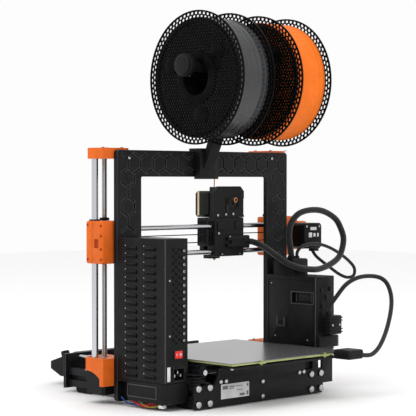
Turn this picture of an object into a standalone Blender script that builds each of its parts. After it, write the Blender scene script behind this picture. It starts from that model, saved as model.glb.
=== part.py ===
"""A desktop filament printer with a moving bed, in metres, +Z up, front towards -Y."""

from math import atan2, cos, degrees, pi, radians, sin

import bmesh
import bpy
from mathutils import Matrix, Vector

# Clearances
GAP = 0.0003
SLIDE_GAP = 0.0004

# Portal frame: one upright plate with a window
FRAME_WIDTH = 0.372
FRAME_TOP = 0.380
FRAME_BASE = 0.005
FRAME_THICK = 0.008
UPRIGHT_WIDTH = 0.0485
TOP_BAR = 0.040
LOWER_BAR = 0.025
FRAME_CORNER = 0.005
HALF_FRAME = FRAME_WIDTH / 2
HALF_WINDOW = HALF_FRAME - UPRIGHT_WIDTH
FRAME_FRONT = -FRAME_THICK

# Base: profiles, plates, feet and bed rods
PROFILE_SIDE = 0.030
PROFILE_X = 0.125
PROFILE_BASE = 0.008
SLOT_WIDTH = 0.008
SLOT_DEPTH = 0.0065
REAR_LENGTH = 0.120
FRONT_LENGTH = 0.161
PLATE_THICK = 0.005
PLATE_HALF = 0.147
FRONT_PLATE_Z = (0.006, 0.060)
REAR_PLATE_Z = (0.001, 0.057)
REAR_TAB_X = -0.157
FOOT_SIDE = 0.034
FOOT_LENGTH = 0.036
FOOT_TAPER = 0.85
BED_ROD_R = 0.004
BED_ROD_X = 0.120
BED_ROD_Z = 0.053
REAR_INNER = REAR_LENGTH
REAR_OUTER = REAR_INNER + PLATE_THICK
FRONT_INNER = FRAME_FRONT - FRONT_LENGTH
FRONT_OUTER = FRONT_INNER - PLATE_THICK

# Motors, belts and pulleys
MOTOR_SIDE = 0.0423
MOTOR_CHAMFER = 0.004
SHAFT_R = 0.0025
PULLEY_R = 0.0052
PULLEY_WIDTH = 0.008
BELT_WIDTH = 0.006
BELT_THICK = 0.0013
BED_MOTOR_Y = 0.095
BED_MOTOR_Z = 0.038
BED_MOTOR_X = (-0.038, 0.000)
BED_BELT_X = 0.008
BED_IDLER_Y = FRONT_INNER + 0.014

# Lifting axis
SCREW_X = HALF_FRAME - 0.0077
SCREW_R = 0.004
GUIDE_X = HALF_FRAME + 0.011
GUIDE_R = 0.005
LIFT_Y = -0.038
LIFT_MOTOR_Z = (0.014, 0.0497)
BOTTOM_BRACKET_Z = (0.050, 0.069)
TOP_BRACKET_H = 0.0135
SCREW_TOP = FRAME_TOP - 0.0135
BRACKET_X = (HALF_FRAME - 0.030, HALF_FRAME + 0.021)
BRACKET_FRONT = -0.060
BRACKET_LEG_Z = 0.028
BRACKET_CHAMFER = 0.012
APRON_WALL = 0.0035

# Cross beam
BEAM_Y = -0.022
UPPER_ROD_Z = 0.2613
LOWER_ROD_Z = 0.2205
BEAM_ROD_R = 0.004
BEAM_ROD_END = HALF_FRAME - 0.001
END_Z = (0.210, 0.274)
END_Y = (-0.049, -0.0105)
IDLER_END_X = (HALF_FRAME - 0.021, HALF_FRAME + 0.020)
MOTOR_END_X = (-HALF_FRAME - 0.0185, -HALF_FRAME + 0.021)
HEAD_BELT_Z = 0.2426
HEAD_PULLEY_X = -HALF_FRAME - 0.0405
HEAD_IDLER_X = SCREW_X
HEAD_MOTOR_Y = (-0.012, 0.022)
HEAD_MOUNT_WALL = 0.0045
CHANNEL_HALF = 0.009
CHANNEL_WIDE = 0.0055

# Print head
HEAD_X = (-0.097, -0.032)
HEAD_REAR = -0.0125
CARRIAGE_Z = (0.213, 0.2747)
CARRIAGE_FRONT = -0.031
HEAD_TOP = 0.325
FILAMENT_X = -0.053
FILAMENT_Y = -0.0365
FILAMENT_R = 0.000875
NOZZLE_TIP = 0.206
FEEDER_X = (-0.088, -0.0457)
FEEDER_Y = (-0.0728, -0.0423)
LOWER_HEAD_Z = (0.229, 0.2745)
LOWER_HEAD_Y = (-0.058, -0.0313)
FAN_DEPTH = 0.007

# Bed
SHEET_X = 0.254
SHEET_Y = 0.244
SHEET_FRONT = -0.062
SHEET_THICK = 0.0008
SHEET_TOP = 0.0715
HEATER_THICK = 0.0024
CARRIAGE_PLATE_Z = 0.0608
CARRIAGE_PLATE_THICK = 0.0032
BEARING_R = 0.0075
BEARING_Y = (0.045, 0.115)
SHEET_REAR = SHEET_FRONT + SHEET_Y

# Spools and their holder
SPOOL_R = 0.100
SPOOL_WIDTH = 0.067
SPOOL_BORE = 0.0265
SPOOL_HUB = 0.040
FLANGE_THICK = 0.003
WINDING_R = 0.090
SPOOL_Y = 0.079
SPOOL_Z = FRAME_TOP + 0.1074
SPOOL_INNER_X = {"dark": 0.034, "orange": -0.025}
ARM_X = (0.000, 0.020)
CLIP_X = (-0.012, 0.0275)
CLIP_WALL = 0.0028
BAR_R = 0.009
BAR_END_R = 0.017
BAR_OVERHANG = 0.018

# Side cases
SUPPLY_X = (HALF_FRAME - 0.0452, HALF_FRAME)
SUPPLY_Y = (GAP, 0.1047)
SUPPLY_Z = (0.040, 0.250)
COVER_BASE = 0.010
INLET_X = (HALF_FRAME - 0.038, HALF_FRAME - 0.014)
INLET_Z = (0.0425, 0.063)
INLET_DEPTH = 0.014
SWITCH_X = HALF_FRAME - 0.0265
SWITCH_Z = 0.0815
SWITCH_WIDTH = 0.0166
SWITCH_HEIGHT = 0.011
SWITCH_DEPTH = 0.0065
CONTROL_X = (-HALF_FRAME + 0.004, -HALF_FRAME + 0.0494)
CONTROL_Y = (GAP, 0.1068)
CONTROL_Z = (0.064, 0.182)
ENTRY_TOP = 0.208

# Display
DISPLAY_X = (-0.055, 0.100)
DISPLAY_FRONT = -0.266
DISPLAY_BASE = 0.014
DISPLAY_TOP = 0.057
DISPLAY_LIP_Z = 0.031
DISPLAY_FLAT = 0.030
KNOB_R = 0.007
KNOB_LENGTH = 0.009
KNOB_X = 0.088

# Cords: radius, then points chosen by hand along the route
CORDS = {
    "head_cable": (0.0050, "braid", [
        (-0.1103, -0.0134, 0.2355), (-0.118, -0.0105, 0.234), (-0.121, 0.004, 0.229),
        (-0.119, 0.022, 0.222), (-0.119, 0.042, 0.212), (-0.127, 0.058, 0.201), (-0.145, 0.067, 0.194),
        (-0.167, 0.070, 0.191), (-0.189, 0.070, 0.191), (-0.219, 0.068, 0.198),
        (-0.243, 0.066, 0.211), (-0.257, 0.062, 0.236), (-0.254, 0.058, 0.256),
        (-0.244, 0.054, 0.272), (-0.219, 0.050, 0.284), (-0.192, 0.046, 0.286),
        (-0.168, 0.042, 0.280), (-0.154, 0.038, 0.264), (-0.152, 0.036, 0.244),
        (-0.156, 0.035, 0.226), (-0.159, 0.035, 0.2098),
    ]),
    "x_motor_cable": (0.0027, "braid", [
        (-0.234, 0.012, 0.2194), (-0.238, 0.020, 0.207), (-0.256, 0.032, 0.190),
        (-0.271, 0.040, 0.178), (-0.285, 0.046, 0.172), (-0.297, 0.050, 0.175),
        (-0.299, 0.050, 0.187), (-0.288, 0.048, 0.199), (-0.269, 0.046, 0.211),
        (-0.246, 0.044, 0.222), (-0.221, 0.042, 0.229), (-0.198, 0.040, 0.230),
        (-0.180, 0.038, 0.226), (-0.172, 0.036, 0.218), (-0.171, 0.036, 0.2091),
    ]),
    "bed_cable": (0.0035, "braid", [
        (-0.1265, 0.203, 0.068), (-0.142, 0.205, 0.065), (-0.158, 0.206, 0.066),
        (-0.178, 0.204, 0.077), (-0.204, 0.196, 0.099), (-0.230, 0.184, 0.128),
        (-0.245, 0.172, 0.151), (-0.247, 0.160, 0.171), (-0.234, 0.150, 0.180),
        (-0.205, 0.141, 0.180), (-0.181, 0.134, 0.170), (-0.165, 0.127, 0.151),
        (-0.158, 0.120, 0.136), (-0.157, 0.117, 0.1216),
    ]),
    "filament_strand": (FILAMENT_R, "orange_print", [
        (FILAMENT_X, SPOOL_Y - WINDING_R - 0.0015, SPOOL_Z),
        (FILAMENT_X, -0.0165, 0.440), (FILAMENT_X, -0.0270, 0.390),
        (FILAMENT_X, -0.0340, 0.350), (FILAMENT_X, FILAMENT_Y, 0.330),
        (FILAMENT_X, FILAMENT_Y, 0.310),
    ]),
}

# Colour, roughness and metallic value of each material
LOOKS = {
    "frame_paint": ((0.020, 0.021, 0.024), 0.45, 0.2),
    "orange_print": ((0.62, 0.105, 0.022), 0.50, 0.0),
    "black_print": ((0.018, 0.018, 0.020), 0.55, 0.0),
    "black_plastic": ((0.022, 0.022, 0.025), 0.40, 0.0),
    "red_plastic": ((0.45, 0.020, 0.015), 0.35, 0.0),
    "grey_metal": ((0.33, 0.35, 0.38), 0.45, 0.8),
    "bright_steel": ((0.62, 0.63, 0.65), 0.22, 1.0),
    "brass": ((0.72, 0.47, 0.18), 0.30, 1.0),
    "sheet_steel": ((0.42, 0.40, 0.37), 0.16, 0.9),
    "heater_board": ((0.10, 0.12, 0.05), 0.45, 0.0),
    "rubber": ((0.015, 0.015, 0.015), 0.80, 0.0),
    "spool_plastic": ((0.016, 0.016, 0.018), 0.42, 0.0),
    "dark_filament": ((0.050, 0.054, 0.060), 0.40, 0.0),
    "orange_filament": ((0.55, 0.060, 0.020), 0.38, 0.0),
    "braid": ((0.012, 0.012, 0.013), 0.70, 0.0),
}


def clear_scene():
    for obj in list(bpy.data.objects):
        bpy.data.objects.remove(obj, do_unlink=True)


def look(name):
    material = bpy.data.materials.get(name)
    if material is None:
        colour, roughness, metallic = LOOKS[name]
        material = bpy.data.materials.new(name)
        material.use_nodes = True
        shader = material.node_tree.nodes["Principled BSDF"]
        shader.inputs["Base Color"].default_value = (*colour, 1.0)
        shader.inputs["Roughness"].default_value = roughness
        shader.inputs["Metallic"].default_value = metallic
        material.diffuse_color = (*colour, 1.0)
    return material


def apply_modifier(obj, modifier):
    bpy.context.view_layer.objects.active = obj
    bpy.ops.object.modifier_apply(modifier=modifier.name)


def bake(obj):
    """Turns a primitive's or curve's rotation and scale into its mesh."""
    bpy.ops.object.select_all(action="DESELECT")
    obj.select_set(True)
    bpy.context.view_layer.objects.active = obj
    if obj.type == "CURVE":
        bpy.ops.object.convert(target="MESH")
        obj = bpy.context.object
    bpy.ops.object.transform_apply(location=True, rotation=True, scale=True)
    mesh = bmesh.new()
    mesh.from_mesh(obj.data)
    bmesh.ops.remove_doubles(mesh, verts=mesh.verts, dist=1e-6)
    bmesh.ops.recalc_face_normals(mesh, faces=mesh.faces)
    mesh.to_mesh(obj.data)
    mesh.free()
    return obj


def block(x, y, z, rounding=0.0, segments=2):
    """A box between three pairs of bounds, its edges rounded."""
    centre = [sum(pair) / 2 for pair in (x, y, z)]
    bpy.ops.mesh.primitive_cube_add(size=1, location=centre)
    obj = bpy.context.object
    obj.scale = [abs(pair[1] - pair[0]) for pair in (x, y, z)]
    obj = bake(obj)
    if rounding:
        soften(obj, rounding, segments)
    return obj


def soften(obj, width, segments=2, angle=40.0):
    bevel = obj.modifiers.new("Bevel", "BEVEL")
    bevel.width = width
    bevel.segments = segments
    bevel.limit_method = "ANGLE"
    bevel.angle_limit = radians(angle)
    bevel.use_clamp_overlap = True
    apply_modifier(obj, bevel)
    return obj


def cylinder(axis, centre, span, radius, sides=32):
    """A round bar along axis x, y or z; centre holds the other two coordinates in order."""
    index = "xyz".index(axis)
    place = list(centre)
    place.insert(index, sum(span) / 2)
    turn = {"x": (0, pi / 2, 0), "y": (pi / 2, 0, 0), "z": (0, 0, 0)}[axis]
    bpy.ops.mesh.primitive_cylinder_add(
        vertices=sides, radius=radius, depth=abs(span[1] - span[0]), location=place, rotation=turn
    )
    return bake(bpy.context.object)


def rounded(corners, radius, steps=4):
    """A closed outline with each corner drawn as an arc of the radius given."""
    points = []
    for i, corner in enumerate(corners):
        here = Vector(corner)
        back = (Vector(corners[i - 1]) - here).normalized()
        ahead = (Vector(corners[(i + 1) % len(corners)]) - here).normalized()
        half = back.angle(ahead) / 2
        middle = here + (back + ahead).normalized() * radius / sin(half)
        start = here + back * radius / (sin(half) / cos(half)) - middle
        sweep = (pi - 2 * half) * (1 if back.x * ahead.y - back.y * ahead.x < 0 else -1)
        for step in range(steps + 1):
            angle = sweep * step / steps
            turned = Matrix.Rotation(angle, 2) @ start
            points.append(tuple(middle + turned))
    return points


def rectangle(a, b):
    return [(a[0], b[0]), (a[1], b[0]), (a[1], b[1]), (a[0], b[1])]


def flat(axis, span, *outlines):
    """A flat piece: 2D outlines in the plane across the axis, extruded over the span."""
    curve = bpy.data.curves.new("outline", "CURVE")
    curve.dimensions = "2D"
    curve.fill_mode = "BOTH"
    curve.extrude = abs(span[1] - span[0]) / 2
    for points in outlines:
        spline = curve.splines.new("POLY")
        spline.points.add(len(points) - 1)
        for point, (a, b) in zip(spline.points, points):
            point.co = (a, b, 0, 1)
        spline.use_cyclic_u = True
    obj = bpy.data.objects.new("outline", curve)
    bpy.context.scene.collection.objects.link(obj)
    middle = sum(span) / 2
    if axis == "z":
        obj.matrix_world = Matrix.Translation((0, 0, middle))
    elif axis == "y":
        obj.matrix_world = Matrix.Translation((0, middle, 0)) @ Matrix.Rotation(pi / 2, 4, "X")
    else:
        turn = Matrix(((0, 0, 1, 0), (1, 0, 0, 0), (0, 1, 0, 0), (0, 0, 0, 1)))
        obj.matrix_world = Matrix.Translation((middle, 0, 0)) @ turn
    return bake(obj)


def boolean(target, others, operation):
    for other in others:
        modifier = target.modifiers.new(operation, "BOOLEAN")
        modifier.operation = operation
        modifier.solver = "EXACT"
        modifier.object = other
        apply_modifier(target, modifier)
        bpy.data.objects.remove(other, do_unlink=True)
    return target


def joined(target, *others):
    return boolean(target, others, "UNION")


def cut(target, *others):
    return boolean(target, others, "DIFFERENCE")


def piece(obj, name, material, parent, pivot=None):
    """Names a finished piece, gives it its material and puts its origin at the pivot."""
    obj.name = name
    obj.data.name = name
    obj.data.materials.clear()
    obj.data.materials.append(look(material))
    if pivot is not None:
        obj.data.transform(Matrix.Translation(-Vector(pivot)))
        obj.location = pivot
    obj.parent = parent
    return obj


def empty(name, parent, location=(0, 0, 0)):
    obj = bpy.data.objects.new(name, None)
    bpy.context.scene.collection.objects.link(obj)
    obj.location = location
    obj.parent = parent
    return obj


def mirrored(pair, side):
    """A pair of x bounds, or its mirror image on the left side."""
    return pair if side > 0 else (-pair[1], -pair[0])


def stadium(start, end, height, radius, steps=12):
    """The outline of a belt run round two wheels of one radius."""
    points = []
    for step in range(steps + 1):
        angle = -pi / 2 + pi * step / steps
        points.append((end + radius * cos(angle), height + radius * sin(angle)))
    for step in range(steps + 1):
        angle = pi / 2 + pi * step / steps
        points.append((start + radius * cos(angle), height + radius * sin(angle)))
    return points


def belt(axis, span, start, end, height):
    inner = PULLEY_R + SLIDE_GAP
    return flat(
        axis, span, stadium(start, end, height, inner + BELT_THICK), stadium(start, end, height, inner)
    )


def build_frame(root):
    outer = rounded(rectangle((-HALF_FRAME, HALF_FRAME), (FRAME_BASE, FRAME_TOP)), FRAME_CORNER)
    window = rectangle((-HALF_WINDOW, HALF_WINDOW), (FRAME_BASE + LOWER_BAR, FRAME_TOP - TOP_BAR))
    window = rounded(window, FRAME_CORNER / 2)
    piece(flat("y", (FRAME_FRONT, 0), outer, window), "frame_plate", "frame_paint", root)


def profile_outline(x, z):
    """A square section with an open slot in each of its four sides."""
    half = PROFILE_SIDE / 2
    slot = SLOT_WIDTH / 2
    floor = half - SLOT_DEPTH
    side = [(half, -half), (half, -slot), (floor, -slot), (floor, slot), (half, slot)]
    points = []
    for turn in range(4):
        for corner in side:
            turned = Matrix.Rotation(turn * pi / 2, 2) @ Vector(corner)
            points.append((x + turned.x, z + turned.y))
    return points


def foot(x, y):
    top = PROFILE_BASE - GAP
    bpy.ops.mesh.primitive_cone_add(
        vertices=4,
        radius1=FOOT_TAPER,
        radius2=1,
        depth=top,
        location=(x, y, top / 2),
        rotation=(0, 0, pi / 4),
    )
    obj = bpy.context.object
    bpy.ops.object.transform_apply(location=False, rotation=True, scale=False)
    obj.scale = (FOOT_SIDE / 2 * 2 ** 0.5, FOOT_LENGTH / 2 * 2 ** 0.5, 1)
    return soften(bake(obj), 0.0015)


def build_base(root):
    middle = PROFILE_BASE + PROFILE_SIDE / 2
    runs = {"front": (FRONT_INNER + GAP, FRAME_FRONT - GAP), "rear": (GAP, REAR_INNER - GAP)}
    for side, word in ((-1, "left"), (1, "right")):
        x = side * PROFILE_X
        for end, run in runs.items():
            section = flat("y", run, profile_outline(x, middle))
            piece(section, f"profile_{end}_{word}", "grey_metal", root)
            outer_end = run[0] + 0.035 if end == "front" else run[1] - 0.020
            piece(foot(x, outer_end), f"foot_{end}_{word}", "rubber", root)
        run = (FRONT_INNER + GAP, REAR_INNER - GAP)
        rod = cylinder("y", (side * BED_ROD_X, BED_ROD_Z), run, BED_ROD_R)
        piece(rod, f"y_rod_{word}", "bright_steel", root)
    build_rear_plate(root)
    build_front_plate(root)


def build_rear_plate(root):
    low, high = REAR_PLATE_Z
    step_x = PROFILE_X - 0.020
    outline = [
        (REAR_TAB_X + 0.025, low), (PLATE_HALF, low), (PLATE_HALF, low + 0.034), (step_x, low + 0.034),
        (step_x - 0.007, high - 0.009), (step_x - 0.007, high), (REAR_TAB_X, high),
        (REAR_TAB_X, low + 0.015), (REAR_TAB_X + 0.025, low + 0.015),
    ]
    plate = flat("y", (REAR_INNER, REAR_OUTER), outline)
    deep = (REAR_INNER - 0.001, REAR_OUTER + 0.001)
    windows = [block(x, deep, (high - 0.017, high - 0.005)) for x in ((-0.110, -0.092), (-0.133, -0.122))]
    piece(cut(plate, *windows), "rear_plate", "frame_paint", root)


def build_front_plate(root):
    plate = block((-PLATE_HALF, PLATE_HALF), (FRONT_OUTER, FRONT_INNER), FRONT_PLATE_Z)
    half = PULLEY_WIDTH / 2 + 0.001
    arm_z = (BED_MOTOR_Z - 0.004, BED_MOTOR_Z + 0.004)
    arm_y = (FRONT_INNER - 0.002, BED_IDLER_Y + 0.004)
    arms = []
    for side in (-1, 1):
        near = BED_BELT_X + side * half
        arms.append(block(tuple(sorted((near, near + side * 0.004))), arm_y, arm_z))
    wheel_span = (BED_BELT_X - half - 0.001, BED_BELT_X + half + 0.001)
    wheel = cylinder("x", (BED_IDLER_Y, BED_MOTOR_Z), wheel_span, PULLEY_R)
    piece(joined(plate, *arms, wheel), "front_plate", "frame_paint", root)


def motor_body(axis, centre, span, shaft=None):
    """A square motor with chamfered long edges, and a shaft where one is given."""
    half = MOTOR_SIDE / 2
    c = MOTOR_CHAMFER
    a, b = centre
    outline = []
    for turn in range(4):
        for corner in ((half, -half + c), (half, half - c)):
            turned = Matrix.Rotation(turn * pi / 2, 2) @ Vector(corner)
            outline.append((a + turned.x, b + turned.y))
    body = flat(axis, span, outline)
    if shaft is not None:
        body = joined(body, cylinder(axis, centre, shaft, SHAFT_R, 24))
    return body


def pulley(axis, centre, span):
    wheel = cylinder(axis, centre, span, PULLEY_R)
    longer = (span[0] - 0.001, span[1] + 0.001)
    return cut(wheel, cylinder(axis, centre, longer, SHAFT_R + SLIDE_GAP, 24))


def build_bed_drive(root):
    centre = (BED_MOTOR_Y, BED_MOTOR_Z)
    span = (BED_BELT_X - PULLEY_WIDTH / 2, BED_BELT_X + PULLEY_WIDTH / 2)
    shaft = (BED_MOTOR_X[1] - 0.002, span[1] - 0.001)
    piece(motor_body("x", centre, BED_MOTOR_X, shaft), "y_motor", "black_plastic", root)
    pivot = (BED_BELT_X, *centre)
    piece(pulley("x", centre, span), "y_pulley", "grey_metal", root, pivot)
    width = (BED_BELT_X - BELT_WIDTH / 2, BED_BELT_X + BELT_WIDTH / 2)
    piece(belt("x", width, BED_IDLER_Y, BED_MOTOR_Y, BED_MOTOR_Z), "y_belt", "rubber", root)


def bracket_outline(side):
    """A bracket seen from above, its outer front corner cut off."""
    inner, outer = BRACKET_X
    rear = FRAME_FRONT - GAP
    c = BRACKET_CHAMFER
    corners = [
        (inner, rear), (outer, rear), (outer, BRACKET_FRONT + c), (outer - c, BRACKET_FRONT),
        (inner, BRACKET_FRONT),
    ]
    return [(side * x, y) for x, y in corners][::side]


def apron(side):
    """The bracket's outer wall, its lower edge an arch over the motor."""
    rear = FRAME_FRONT - GAP
    front = BRACKET_FRONT + BRACKET_CHAMFER
    top = BOTTOM_BRACKET_Z[0] + 0.003
    reach = rear - front - 0.004
    rise = BOTTOM_BRACKET_Z[0] - BRACKET_LEG_Z
    outline = [(front, top), (rear, top), (rear, BRACKET_LEG_Z)]
    for step in range(9):
        angle = step * pi / 16
        outline.append((front + reach * cos(angle), BRACKET_LEG_Z + rise * sin(angle)))
    wall = (BRACKET_X[1] - APRON_WALL, BRACKET_X[1])
    return flat("x", mirrored(wall, side), outline)


def build_lift(root):
    screw_base = LIFT_MOTOR_Z[1] + 0.001
    rear = FRAME_FRONT - GAP
    for side, word in ((-1, "left"), (1, "right")):
        screw = (side * SCREW_X, LIFT_Y)
        guide = (side * GUIDE_X, LIFT_Y)
        piece(motor_body("z", screw, LIFT_MOTOR_Z), f"z_motor_{word}", "black_plastic", root)

        bottom = flat("z", BOTTOM_BRACKET_Z, bracket_outline(side))
        leg_y = (LIFT_Y + MOTOR_SIDE / 2 + GAP, rear)
        leg = block(mirrored(BRACKET_X, side), leg_y, (BRACKET_LEG_Z, BOTTOM_BRACKET_Z[0] + 0.003))
        bottom = cut(
            joined(bottom, leg, apron(side)),
            cylinder("z", screw, (BOTTOM_BRACKET_Z[0] - 0.001, BOTTOM_BRACKET_Z[1] + 0.001), 0.0070),
            cylinder("z", guide, (BOTTOM_BRACKET_Z[0] + 0.004, BOTTOM_BRACKET_Z[1] + 0.001), GUIDE_R + GAP),
        )
        piece(bottom, f"z_bottom_{word}", "orange_print", root)

        top_z = (FRAME_TOP + 0.0005 - TOP_BRACKET_H, FRAME_TOP + 0.0005)
        top = flat("z", top_z, bracket_outline(side))
        top = cut(top, cylinder("z", guide, (top_z[0] - 0.001, top_z[1] - 0.002), GUIDE_R + GAP))
        piece(top, f"z_top_{word}", "orange_print", root)

        guide_span = (BOTTOM_BRACKET_Z[0] + 0.0045, top_z[1] - 0.0025)
        piece(cylinder("z", guide, guide_span, GUIDE_R), f"z_rod_{word}", "bright_steel", root)
        pivot = (*screw, screw_base)
        lead_screw = cylinder("z", screw, (screw_base, SCREW_TOP), SCREW_R)
        piece(lead_screw, f"z_screw_{word}", "bright_steel", root, pivot)


def beam_end(x, side):
    """A beam end: blind bores for the beam rods, bores for guide and screw, a slot for the belt."""
    inner = x[0] if side > 0 else x[1]
    rod_end = side * (BEAM_ROD_END + GAP)
    bore = tuple(sorted((inner - side * 0.001, rod_end)))
    tall = (END_Z[0] - 0.001, END_Z[1] + 0.001)
    body = block(x, END_Y, END_Z, 0.003)
    slot_x = (inner - side * 0.001, side * (GUIDE_X + 0.003) if side > 0 else x[0] - 0.001)
    slot_y = (BEAM_Y - CHANNEL_WIDE, BEAM_Y + CHANNEL_WIDE)
    slot_z = (HEAD_BELT_Z - CHANNEL_HALF, HEAD_BELT_Z + CHANNEL_HALF)
    return cut(
        body,
        block(tuple(sorted(slot_x)), slot_y, slot_z),
        cylinder("x", (BEAM_Y, UPPER_ROD_Z), bore, BEAM_ROD_R + GAP),
        cylinder("x", (BEAM_Y, LOWER_ROD_Z), bore, BEAM_ROD_R + GAP),
        cylinder("z", (side * SCREW_X, LIFT_Y), tall, SCREW_R + SLIDE_GAP),
        cylinder("z", (side * GUIDE_X, LIFT_Y), tall, GUIDE_R + SLIDE_GAP),
    )


def build_beam(gantry):
    wheel_y = (BEAM_Y - CHANNEL_WIDE - 0.001, BEAM_Y + CHANNEL_WIDE + 0.001)
    wheel = cylinder("y", (HEAD_IDLER_X, HEAD_BELT_Z), wheel_y, PULLEY_R)
    piece(joined(beam_end(IDLER_END_X, 1), wheel), "x_end_idler", "orange_print", gantry)

    half = MOTOR_SIDE / 2 + 0.0025
    mount_rear = HEAD_MOTOR_Y[0] - GAP
    mount_x = (HEAD_PULLEY_X - half, MOTOR_END_X[0] + 0.004)
    mount_y = (mount_rear - HEAD_MOUNT_WALL * 2 - CHANNEL_WIDE * 2, mount_rear)
    mount = block(mount_x, mount_y, (HEAD_BELT_Z - half, HEAD_BELT_Z + half), 0.004, 3)
    hollow_x = (HEAD_PULLEY_X - PULLEY_R - 0.004, mount_x[1] + 0.001)
    hollow_y = (BEAM_Y - CHANNEL_WIDE, BEAM_Y + CHANNEL_WIDE)
    hollow_z = (HEAD_BELT_Z - CHANNEL_HALF, HEAD_BELT_Z + CHANNEL_HALF)
    through = (BEAM_Y, mount_rear + 0.001)
    end = cut(
        joined(beam_end(MOTOR_END_X, -1), mount),
        block(hollow_x, hollow_y, hollow_z),
        cylinder("y", (HEAD_PULLEY_X, HEAD_BELT_Z), through, SHAFT_R + 0.002),
    )
    piece(end, "x_end_motor", "orange_print", gantry)

    for word, height in (("upper", UPPER_ROD_Z), ("lower", LOWER_ROD_Z)):
        rod = cylinder("x", (BEAM_Y, height), (-BEAM_ROD_END, BEAM_ROD_END), BEAM_ROD_R)
        piece(rod, f"x_rod_{word}", "bright_steel", gantry)

    centre = (HEAD_PULLEY_X, HEAD_BELT_Z)
    span = (BEAM_Y - PULLEY_WIDTH / 2, BEAM_Y + PULLEY_WIDTH / 2)
    shaft = (span[0] + 0.001, HEAD_MOTOR_Y[0] + 0.002)
    piece(motor_body("y", centre, HEAD_MOTOR_Y, shaft), "x_motor", "black_plastic", gantry)
    pivot = (HEAD_PULLEY_X, BEAM_Y, HEAD_BELT_Z)
    piece(pulley("y", centre, span), "x_pulley", "grey_metal", gantry, pivot)
    width = (BEAM_Y - BELT_WIDTH / 2, BEAM_Y + BELT_WIDTH / 2)
    piece(belt("y", width, HEAD_PULLEY_X, HEAD_IDLER_X, HEAD_BELT_Z), "x_belt", "rubber", gantry)


def build_head(head):
    build_carriage(head)
    build_extruder(head)
    piece(motor_feeder(), "extruder_motor", "black_plastic", head)
    blower = block((-0.090, -0.050), (-0.072, LOWER_HEAD_Y[0] - GAP), (0.232, 0.268), 0.002)
    duct = block((-0.072, -0.052), (-0.070, -0.060), (0.214, 0.234), 0.001)
    blower = cut(joined(blower, duct), block((-0.070, -0.054), (-0.068, -0.062), (0.213, 0.224)))
    piece(blower, "blower", "black_plastic", head)
    build_hotend(head)

    fan_y = sum(LOWER_HEAD_Y) / 2
    fan_z = sum(LOWER_HEAD_Z) / 2
    fan_x = (HEAD_X[0] + 0.001, HEAD_X[0] + FAN_DEPTH - 0.001)
    hub = cylinder("x", (fan_y, fan_z), fan_x, 0.006)
    blades = []
    for turn in range(7):
        blade = block(
            (fan_x[0] + 0.001, fan_x[1] - 0.001),
            (fan_y - 0.0025, fan_y + 0.0025),
            (fan_z + 0.004, fan_z + 0.0115),
        )
        spin = Matrix.Translation((0, fan_y, fan_z)) @ Matrix.Rotation(turn * 2 * pi / 7, 4, "X")
        blade.data.transform(spin @ Matrix.Translation((0, -fan_y, -fan_z)))
        blades.append(blade)
    pivot = (sum(fan_x) / 2, fan_y, fan_z)
    piece(joined(hub, *blades), "hotend_fan", "black_plastic", head, pivot)

    lever = block((HEAD_X[0] - 0.0065, HEAD_X[0] - GAP), (-0.030, -0.020), (0.285, 0.320), 0.0015)
    pivot = (HEAD_X[0] - 0.0065, -0.025, 0.288)
    piece(lever, "idler_lever", "orange_print", head, pivot)


def build_carriage(head):
    body = block(HEAD_X, (CARRIAGE_FRONT, HEAD_REAR), CARRIAGE_Z, 0.002)
    gland = block((HEAD_X[0] - 0.011, HEAD_X[0] + 0.006), (-0.0173, -0.0095), (0.225, 0.246), 0.002)
    wide = (HEAD_X[0] - 0.012, HEAD_X[1] + 0.001)
    channel_y = (BEAM_Y - BELT_WIDTH / 2 - 0.0015, BEAM_Y + BELT_WIDTH / 2 + 0.0015)
    channel_z = (HEAD_BELT_Z - CHANNEL_HALF, HEAD_BELT_Z + CHANNEL_HALF)
    body = cut(
        joined(body, gland),
        cylinder("x", (BEAM_Y, UPPER_ROD_Z), wide, BEAM_ROD_R + SLIDE_GAP),
        cylinder("x", (BEAM_Y, LOWER_ROD_Z), wide, BEAM_ROD_R + SLIDE_GAP),
        block(wide, channel_y, channel_z),
    )
    piece(body, "x_carriage", "black_print", head)


def build_extruder(head):
    chamfer = 0.008
    low = CARRIAGE_Z[1] + GAP
    back = [
        (HEAD_X[0], low), (HEAD_X[1], low), (HEAD_X[1], HEAD_TOP - chamfer), (HEAD_X[1] - chamfer, HEAD_TOP),
        (HEAD_X[0] + chamfer, HEAD_TOP), (HEAD_X[0], HEAD_TOP - chamfer),
    ]
    body = flat("y", (HEAD_REAR - 0.006, HEAD_REAR), back)
    drive_y = (FEEDER_Y[1] + GAP, HEAD_REAR - 0.005)
    drive = block((HEAD_X[0], FILAMENT_X + 0.006), drive_y, (low, HEAD_TOP - 0.001), 0.001)
    neck_x = (HEAD_X[0], FILAMENT_X + 0.006)
    neck = block(neck_x, (FEEDER_Y[1] + GAP, LOWER_HEAD_Y[1]), (low - 0.003, low + 0.003))
    lower = block((HEAD_X[0], HEAD_X[1] - 0.003), LOWER_HEAD_Y, LOWER_HEAD_Z, 0.0015)
    fan_centre = (sum(LOWER_HEAD_Y) / 2, sum(LOWER_HEAD_Z) / 2)
    body = cut(
        joined(body, drive, neck, lower),
        cylinder("x", fan_centre, (HEAD_X[0] - 0.001, HEAD_X[0] + FAN_DEPTH), 0.0125),
        cylinder("z", (FILAMENT_X, FILAMENT_Y), (LOWER_HEAD_Z[0] - 0.001, HEAD_TOP + 0.001), 0.0016, 16),
    )
    piece(body, "extruder_body", "black_print", head)


def motor_feeder():
    centre = (sum(FEEDER_X) / 2, LOWER_HEAD_Z[1] + 0.0005 + MOTOR_SIDE / 2)
    return motor_body("y", centre, FEEDER_Y)


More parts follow.
